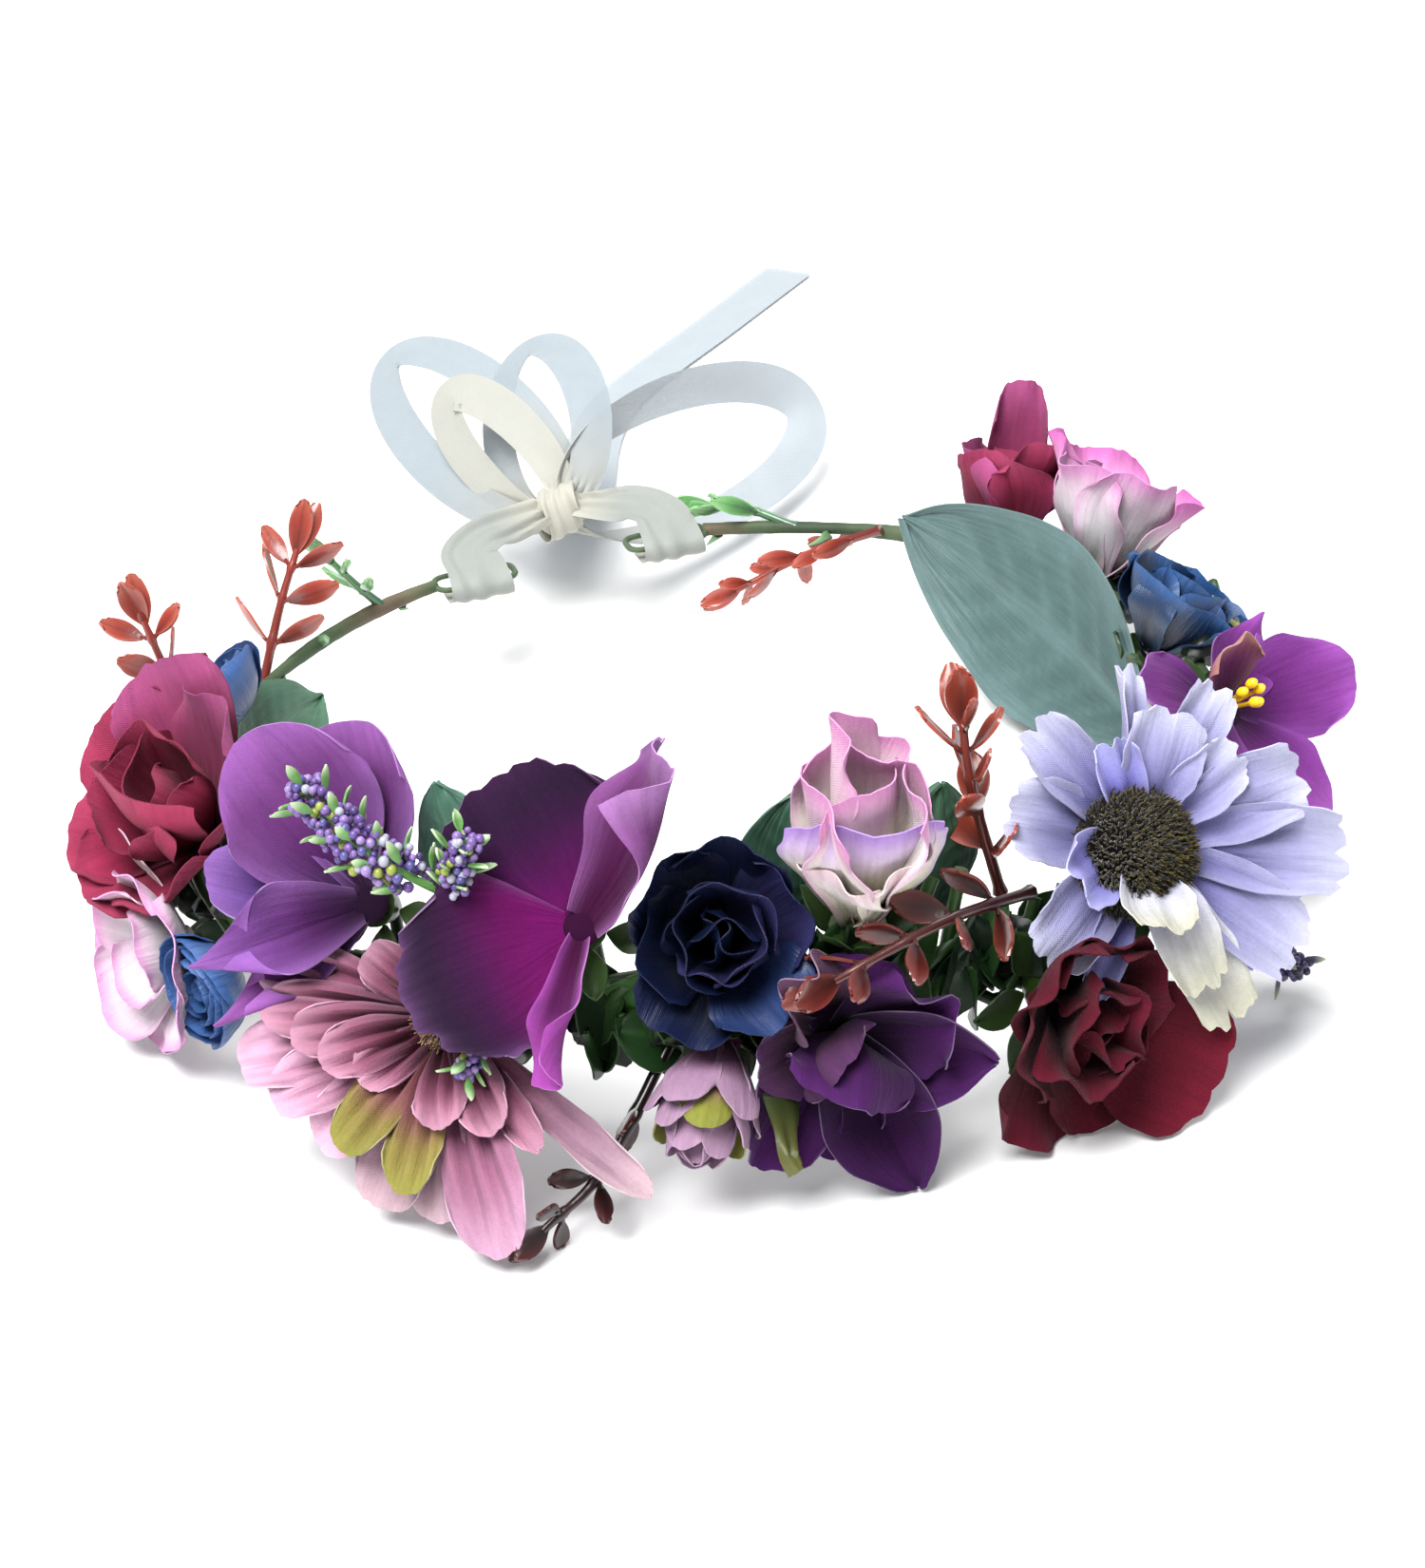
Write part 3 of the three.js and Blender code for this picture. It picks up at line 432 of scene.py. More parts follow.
def petal(length, width, rng, outline="round", rounding=0.25, wrap=35, bend=15, late=1.5, ribs=0,
          rib_depth=0.5, ruffle=0.6, crumple=0.5, ragged=0.02, twist=0, fold=0, notch=0, steps=(22, 16)):
    """A petal from the origin along +Y, facing +Z. wrap is the arc across it and bend the arc
    along it, in degrees; late puts the bend nearer the tip. Gives points, and u and v on it."""
    u, v = spread(steps)
    tip_nicks = ripple(rng, u * 10, 0, 1.6, 6) * v**4
    nick = tip_nicks + ripple(rng, v * 10, np.sign(u) * 9, 1.2, 6) * abs(u) ** 6
    wide = through(OUTLINES[outline], v) * (1 + ragged * nick)
    reach = v * (1 - rounding * (1 - np.sqrt(1 - 0.97 * u**2)) * v) * (1 + ragged * nick * v**2)
    reach = reach * (1 - notch * np.cos(math.pi * 3 * u) * (1 - abs(u)) * v**6)
    half = width / 2 * wide
    arc = math.radians(wrap) * (0.7 + 0.3 * v) / 2
    x = half / arc * np.sin(u * arc)
    rise = half / arc * (1 - np.cos(u * arc))
    rise = rise + fold * half * abs(u)
    if ribs:
        along = np.sin(math.pi * np.clip(v * 0.9 + 0.1, 0, 1)) ** 0.6
        rise = rise + rib_depth * np.cos(math.pi * ribs * u) * along
    wave = [rng.uniform(0, TURN) for _ in range(3)]  # the third only keeps the order of draws
    side_waves = abs(u) ** 3 * np.sin(9 * v + wave[0] + np.sign(u)) * v
    rise = rise + ruffle * (side_waves + v**4 * np.sin(5 * u + wave[1]))
    rise = rise + crumple * ripple(rng, x, v * length, 9)
    fine = np.linspace(0, 1, ARC_STEPS)
    angle = math.radians(bend) * fine**late
    run = np.cumsum(np.cos(angle)) / ARC_STEPS * length
    climb = np.cumsum(np.sin(angle)) / ARC_STEPS * length
    theta = math.radians(bend) * reach**late
    y = np.interp(reach, fine, run) - np.sin(theta) * rise
    z = np.interp(reach, fine, climb) + np.cos(theta) * rise
    a = math.radians(twist) * v
    return np.stack([x * np.cos(a) + z * np.sin(a), y, z * np.cos(a) - x * np.sin(a)], -1), u, v


def bud_petal(radius, depth, rng, start, span, top, flare):
    """A petal on a closing bud round +Z. top is how far up the bud it reaches, and flare how
    far its rim stands out."""
    u, v = spread((16, 16))
    nick = ripple(rng, u * 10, start, 1.8, 6) * v**5
    reach = v * (1 - 0.2 * (1 - np.sqrt(1 - 0.97 * u**2)) * v) * (1 + 0.01 * 3 * nick) * top
    a = np.radians(BUD_ARC) * reach
    away = radius * np.sin(a) * (1 - 0.04 * u) + flare * step(0.7, 1, v)
    away = away + 0.3 * ripple(rng, u * 8, v * 14, 7)
    high = depth * (1 - np.cos(a)) / (1 - math.cos(math.radians(BUD_ARC)))
    turn = math.radians(start) + math.radians(span) / 2 * u * through(OUTLINES["fan"], v)
    return np.stack([away * np.cos(turn), away * np.sin(turn), high + 0 * u], -1), u, v


def colours(u, v, keys, edge=None, rim=0.5, reach=3):
    """Colours along a petal from base to tip, going over to the edge colour near its rim."""
    made = grade(keys, v + 0 * u)
    if edge:
        near = np.maximum(abs(u) ** reach, v ** (reach + 1)) + 0 * u
        made = made + (tone(edge) - made) * (rim * near)[..., None]
    return made


def cloth_of(u, v, width, length):
    return np.stack([u * width / 2, v * length + 0 * u], -1)


def put(shape, made, turn, base, tint, size, thick=CLOTH):
    """Turns a petal, moves its base into place and adds it to a shape."""
    grid, u, v = made
    own_place = shape.count * 0.37  # so that no two petals share their creases
    shape.sheet(grid @ turn.T + base, tint, cloth_of(u, v, *size) + own_place, thick)


def seat_of(name):
    """The bottom of a bloom's petals, its axis, and columns that carry +Z to the axis."""
    at, axis = FLOWERS[name]
    axis = facing(at[0], *axis)
    return ring_point(*at), axis, axis_turn(axis)


OWN = {int: "wrap", list: "keys"}  # what a petal's own number or list stands for


def bloom_petals(shape, name, petals, style, rng):
    """Open petals round a small hub."""
    home, _, turn = seat_of(name)
    hub = 1.6 if style["outline"] == "fan" else 1.2 + 0.3 * min(len(petals), 6)
    # The hub takes the petals' base colour; for the burgundy peony and the pink bud that is painted shade.
    shape.ball(home, (hub + 0.6, hub + 0.6, 1.1), tone(style["keys"][0][1]), turn, 8, 16)
    for angle, lean, length, width, *own in petals:
        look = dict(style)
        for change in own:
            look.update(change if isinstance(change, dict) else {OWN[type(change)]: change})
        paint = {k: look.pop(k) for k in ("keys", "edge", "rim", "reach") if k in look}
        sink = look.pop("sink", 0)
        along, face = facing(angle + 90, 90 - lean), facing(angle - 90, lean)
        root = facing(angle + 90) * (hub - TUCK) + UP * sink
        made = petal(length - hub + TUCK, width, rng, **look)
        put(shape, made, turn @ blade_turn(along, face), home + turn @ root, colours(*made[1:], **paint),
            (width, length))


def bud_layers(shape, name, radius, depth, rng, **paint):
    """Rings of petals closing over each other."""
    home, _, turn = seat_of(name)
    for count, share_out, top, span, flare in BUD_LAYERS:
        start = rng.uniform(0, 360)
        for k in range(count):
            made = bud_petal(radius * share_out, depth * (0.55 + 0.45 * share_out), rng,
                             start + 360 * k / count + rng.uniform(-9, 9), span, top, flare)
            put(shape, made, turn, home, colours(*made[1:], **paint),
                (radius * math.radians(span), depth * 1.3))


def dark_leaf(shape, rng, start, end, width, tint):
    """One of the dark glossy leaves glued between the blooms; their darkness, deepest at the base, is partly
    painted shade in the gaps.
    """
    start, end = ring_point(*start), ring_point(*end)
    made = petal(np.linalg.norm(end - start), width, rng, "leaf", 0, 60, rng.uniform(-35, 20), 1.3,
                 crumple=0.4, ruffle=0.5, steps=(12, 10))
    face = facing(math.degrees(math.atan2(start[0], -start[1])), rng.uniform(20, 60), rng.uniform(-30, 30))
    # Darkest at the base: painted shade where the leaf goes in among the blooms.
    tint = colours(*made[1:], keys=[(0, "101c0c"), (0.5, tint), (1, tint)])
    rib = midrib(made[1], 8)[..., None]
    put(shape, made, blade_turn(end - start, face), start, tint * (1 + 0.6 * rib), (width, 14), 0.35)


def foliage(shape, name):
    """Dark leaves, stems and drops of glue that fill the gaps beside a bloom, partly as painted shade between
    the blooms.
    """
    rng = random.Random(name + "_foliage")
    middle, spread_to, count, tallest, *inner = FOLIAGE[name]
    inner = inner[0] if inner else 91
    for k in range(count):
        a = middle + spread_to * (2 * (k + 0.5) / count - 1) + rng.uniform(-2, 2)
        low, high = rng.uniform(14, 24), rng.uniform(tallest - 14, tallest)
        tint = rng.choice(("1a3418", "22401e", "142812", "2c4c24", "182c1c"))
        dark_leaf(shape, rng, (a, inner, low), (a + rng.uniform(-7, 7), rng.uniform(inner + 3, 101), high),
                  rng.uniform(8, 12), tint)
    for k in range(count // 2):
        a = middle + spread_to * (2 * (k + 0.5) / (count // 2) - 1)
        stem = [ring_point(a - 4, inner, 24), ring_point(a, inner + 4, rng.uniform(20, 34)),
                ring_point(a + 5, inner + 2, tallest - 6)]
        shape.tube(through(stem, np.linspace(0, 1, 9)), 1.1, tone("28441c"), 8)
        # A near-black drop of glue, which is partly painted shade in the gap.
        shape.ball(ring_point(a, 92, rng.uniform(22, 28)), (4.5, 3.5, 3), tone("0c140c"), np.eye(3), 8, 12,
                   lambda lat, lon: 1 + 0.12 * np.sin(3 * lon + 2 * lat) + 0.08 * np.sin(5 * lat))


def calyx(name):
    """The green cup under a bloom, its sepals, and the stem that bends down to the vine."""
    rng, tint = random.Random(name), "2c4018"
    radius = 4.5 if name in SEPALS else 3.6
    count, length, width, lift = SEPALS.get(name, (5, 8, 5, 8))
    home, axis, turn = seat_of(name)
    seat = home - axis * 1.3
    shape = Shape()
    down = np.array([0, -1.5, -4, -5.6, -6.8])
    shape.tube(seat + axis * down[:, None], radius * np.array([1, 0.92, 0.7, 0.42, 0.3]), tone(tint), 16)
    foot = ring_point(FLOWERS[name][0][0])
    neck = seat - axis * 6
    bend = (neck + foot) / 2 - axis
    t = np.linspace(0, 1, 9)
    shape.tube(through([neck, bend, foot], t), 1.05, tone("24381a"), 10)
    for k in range(count):
        angle = 360 * k / count + rng.uniform(-12, 12)
        along, face = facing(angle + 90, lift), facing(angle - 90, 90 - lift)
        made = petal(length, width, rng, "leaf", 0, 60, -12, 1.2, crumple=0.2, ruffle=0.3, steps=(10, 8))
        root = seat - axis * 3 + turn @ facing(angle + 90) * radius * 0.8
        tints = colours(*made[1:], keys=[(0, tint), (1, "2c4420")])
        put(shape, made, turn @ blade_turn(along, face), root, tints, (4, 8), 0.3)
    if name == "pink_bud":  # a long folded leaf beside it
        along = turn @ unit(np.array((0.28, -0.1, 1)))
        made = petal(23, 7, rng, "leaf", 0, 90, -10, 1.2, crumple=0.5, ruffle=1.2, steps=(20, 12))
        face, root = turn @ np.array((-1.0, -0.8, 0.2)), home + turn @ np.array((7.5, -2, -3))
        tints = colours(*made[1:], keys=[(0, "141c0c"), (0.5, "2c3418"), (1, "505024")])
        put(shape, made, blade_turn(along, face), root, tints, (8, 22), 0.3)
    if name == "pink_rose":  # a small yellow-green leaf
        dark_leaf(shape, rng, (98, 94, 24), (88, 104, 30), 9, "8c8c44")
    if name in FOLIAGE:
        foliage(shape, name)
    return shape.piece(name + "_calyx", CALYX, "crown", name + "_calyx")


# ---- flowers ----

# Where the bottom of each bloom's petals is, as ring_point has it, and its axis, as facing has it.
FLOWERS = {
    "magenta_orchid": ((-28, 100, 47), (35, 0)),
    "lavender_daisy": ((23, 102, 43), (28, -18)),
    "navy_rose": ((-16, 94, 40), (34, 0)),
    "cream_rosebud": ((-3.5, 95, 41), (74, 0)),
    "pink_zinnia": ((-41, 101, 29), (37, 0)),
    "violet_orchid": ((-51, 94, 42), (34, 6)),
    "violet_lily": ((-7, 101, 26), (-2, 0)),
    "burgundy_peony": ((14, 102, 21), (0, 0)),
    "pink_bud": ((-17, 99, 26), (-34, -18)),
    "purple_orchid": ((56, 92, 37), (38, -24)),
    "crimson_peony": ((-84, 90, 33), (46, 12)),
    "blue_rose": ((88, 85, 23), (54, -6)),
    "pink_rose": ((107, 90, 24), (66, 0)),
    "crimson_rose": ((121, 89, 24), (74, 0)),
    "cream_rose": ((-78, 100, 21), (4, 0)),
    "lilac_rose": ((-64, 85, 34), (78, 0)),
    "blue_rose_low": ((-69, 99, 21), (0, 0)),
    "blue_rose_back": ((-118, 86, 27), (50, 0)),
}
BARE = ("cream_rose", "lilac_rose", "blue_rose_low", "blue_rose_back")  # no calyx is seen

# How many sepals, their length and width, and their lift above the calyx's level.
SEPALS = {
    "navy_rose": (5, 11, 7, 35), "cream_rosebud": (5, 10, 7, 60), "pink_bud": (5, 9, 6, 62),
    "crimson_rose": (5, 7, 6, 62), "pink_rose": (5, 9, 6, 62), "blue_rose": (5, 6, 5, 50),
    "burgundy_peony": (6, 11, 7, 15), "crimson_peony": (6, 7, 6, 5),
}
# Their dark leaves and glue drops are partly painted shade between the blooms.
# Filler leaves: the middle of their stretch of vine, its half, how many, how high they reach and,
# where it isn't 91, how far out they start.
FOLIAGE = {
    "magenta_orchid": (-25, 6, 7, 40), "navy_rose": (-15, 7, 9, 44), "cream_rosebud": (-2, 6, 9, 50),
    "violet_lily": (-5, 7, 7, 36), "burgundy_peony": (9, 7, 8, 40), "lavender_daisy": (21, 8, 8, 40),
    "pink_zinnia": (-40, 8, 7, 36), "violet_orchid": (-54, 8, 7, 36), "crimson_peony": (-84, 12, 8, 26),
    "purple_orchid": (50, 9, 7, 30, 95), "blue_rose": (82, 12, 7, 24, 95), "pink_rose": (106, 10, 6, 30, 94),
}

# Colours from the base of a petal to its tip.
MAGENTA = [(0, "280624"), (0.14, "500a48"), (0.34, "3e0c3c"), (0.58, "2a0e2e"), (0.8, "1a0f22"),
           (1, "150f1c")]
PLUM = [(0, "5c0a4e"), (0.35, "540c48"), (0.58, "321034"), (0.8, "201226"), (1, "1a121e")]
HOT = [(0, "340829"), (0.5, "3e0e38"), (0.8, "461c44"), (1, "786080")]
ORCHID = [(0, "1c0520"), (0.3, "3c1446"), (0.7, "58265f"), (1, "80448a")]
LAVENDER = [(0, "221e4c"), (0.15, "403c74"), (0.4, "666494"), (0.75, "8a88ae"), (1, "aeaec6")]
CREAM = [(0, "a8a47c"), (0.4, "d4d0bc"), (0.8, "dcd4d0"), (1, "d0a8c4")]
CREAM_PINK = [(0, "c0bca4"), (0.6, "dcd4cc"), (0.86, "d0acc0"), (1, "c080a8")]
CREAM_VIOLET = [(0, "c4c0a0"), (0.55, "d8d4c0"), (0.8, "c4b0cc"), (1, "9470b4")]
ZINNIA = [(0, "1c060c"), (0.25, "48202e"), (0.5, "804860"), (0.8, "b0829a"), (1, "c8a0b6")]
ZINNIA_DEEP = [(0, "1c060c"), (0.35, "481c2c"), (0.7, "784056"), (1, "a47286")]
ZINNIA_PALE = [(0, "401c2e"), (0.3, "6c384e"), (0.7, "9c788c"), (1, "b0969e")]
LIME = [(0, "200810"), (0.3, "5c2838"), (0.55, "7c4c50"), (0.74, "7c6c3c"), (1, "807c3c")]
NAVY = [(0, "010206"), (0.55, "040816"), (1, "0c1530")]
# A lighter navy for one petal: painted highlight where the satin catches the light.
NAVY_PAINTED_HIGHLIGHT = [(0, "060a1c"), (0.5, "101c3c"), (1, "283c68")]
# A violet navy for some petals: painted sheen where folds of the satin catch the light.
NAVY_VIOLET_SHEEN = [(0, "06051a"), (0.5, "16142e"), (1, "2a264c")]
VIOLET = [(0, "0a020e"), (0.4, "200628"), (1, "3c1048")]
PLUM_BROWN = [(0, "100410"), (0.5, "2c1428"), (1, "4c2c48")]
# The burgundy goes nearly black at the petals' bases: painted shade deep in the peony.
BURGUNDY = [(0, "050001"), (0.4, "1a0208"), (0.75, "3a0410"), (1, "480818")]
# A lighter burgundy for one outer petal of the same cloth: painted light on that petal.
BURGUNDY_PAINTED_LIGHT = [(0, "140104"), (0.4, "3c040e"), (1, "560a1c")]
CRIMSON = [(0, "200410"), (0.45, "5c1028"), (0.8, "84223f"), (1, "94304e")]
CRIMSON_PINK = [(0, "300a16"), (0.4, "641c38"), (0.75, "84345a"), (1, "a24e80")]
PURPLE = [(0, "240628"), (0.35, "50185a"), (0.8, "6e2c78"), (1, "803c8a")]
# The pink bud's colours are darkest at the petals' bases: painted shade deep inside the bud.
BUD = [(0, "3c1030"), (0.3, "683a5a"), (0.6, "8a6a84"), (1, "8c7088")]
BUD_TIP = [(0, "381a28"), (0.45, "6c3e58"), (0.64, "7c604c"), (0.8, "747430"), (1, "787a38")]
PURPLE_TIP = [(0, "301028"), (0.5, "5c2054"), (0.8, "7c405c"), (1, "a07468")]
BLUE = [(0, "02040c"), (0.5, "081226"), (0.85, "102648"), (1, "24487c")]
SKY = [(0, "0c1638"), (0.6, "1c3866"), (1, "345488")]
PINK_ROSE = [(0, "b8b4a4"), (0.5, "dcd8d8"), (0.8, "d098bc"), (1, "bc60a0")]
WHITE_ROSE = [(0, "98948c"), (0.5, "c8c6c8"), (0.85, "ccb8c4"), (1, "c088b0")]
LILAC = [(0, "b8b49c"), (0.4, "c8bccc"), (0.8, "c0a0c8"), (1, "a070b8")]



def zinnia_petals():
    deep, pale = dict(keys=ZINNIA_DEEP), dict(keys=ZINNIA_PALE, edge="b49ca4")
    rosy = dict(keys=[(0, "300c1c"), (0.3, "5c2c40"), (0.7, "8e5c76"), (1, "ac849c")])
    lime = dict(keys=LIME, edge="8c8a40", rim=0.1)
    return [
        (172, 80, 35, 11), (186, 76, 31, 10, deep), (199, 84, 37, 12.5), (212, 82, 32, 12),
        (232, 84, 29, 12), (259, 86, 31, 13.5, pale), (278, 86, 31, 13, pale), (297, 80, 38, 13.5, rosy),
        (331, 82, 43, 6.5, dict(pale, outline="spoon", ribs=1, bend=-24)),
        (320, 76, 27, 6, dict(deep, ribs=1)), (196, 66, 25, 9, deep), (210, 60, 21, 9.5, deep),
        (243, 70, 26, 10.5, lime), (271, 71, 28, 9.5, lime), (312, 66, 22, 9, deep), (228, 60, 17, 9, deep),
        (287, 60, 19, 9, deep), (150, 70, 17, 9, deep), (100, 78, 11, 9, deep), (40, 76, 12, 9, deep)]


def daisy_petals():
    cream = dict(keys=[(0, "545090"), (0.3, "9896b4"), (0.65, "b4b4b8"), (1, "b0ae94")], rim=0.1)
    blue = dict(keys=[(0, "2c2870"), (0.3, "5854a0"), (1, "8c8ac8")])
    return [
        (123, 76, 26, 11), (156, 78, 23, 13.5), (190, 60, 20, 12, dict(blue, bend=20)), (214, 80, 25, 12),
        (238, 84, 26, 7, dict(blue, wrap=90)), (253, 58, 19, 12, dict(cream, bend=30, sink=1.5)),
        (277, 74, 26, 11, dict(cream, sink=1)), (285, 84, 33, 11.5, cream), (312, 82, 33, 14.5),
        (298, 88, 29, 10, blue), (341, 82, 36, 14.5), (326, 88, 31, 11, blue), (5, 80, 30, 13.5),
        (24, 74, 22, 10), (44, 82, 28, 9.5), (61, 72, 21, 14),
        (78, 82, 27, 7, dict(wrap=120, twist=30)), (98, 66, 17, 9, dict(blue, wrap=90))]


def bud_petals():
    """Rings of petals: how many, the first one's angle, lean, length, and every second one's changes."""
    lime = dict(keys=BUD_TIP, edge="6c702c")
    rings = ((6, 98, 37, 17.5, {}), (6, 68, 28, 19.5, lime), (5, 100, 17, 21.5, {}), (3, 90, 6, 22, {}))
    return [(first + 360 * k / count + 5 * (-1) ** k, lean, length, 9.5, {} if k % 2 else own)
            for count, first, lean, length, own in rings for k in range(count)]


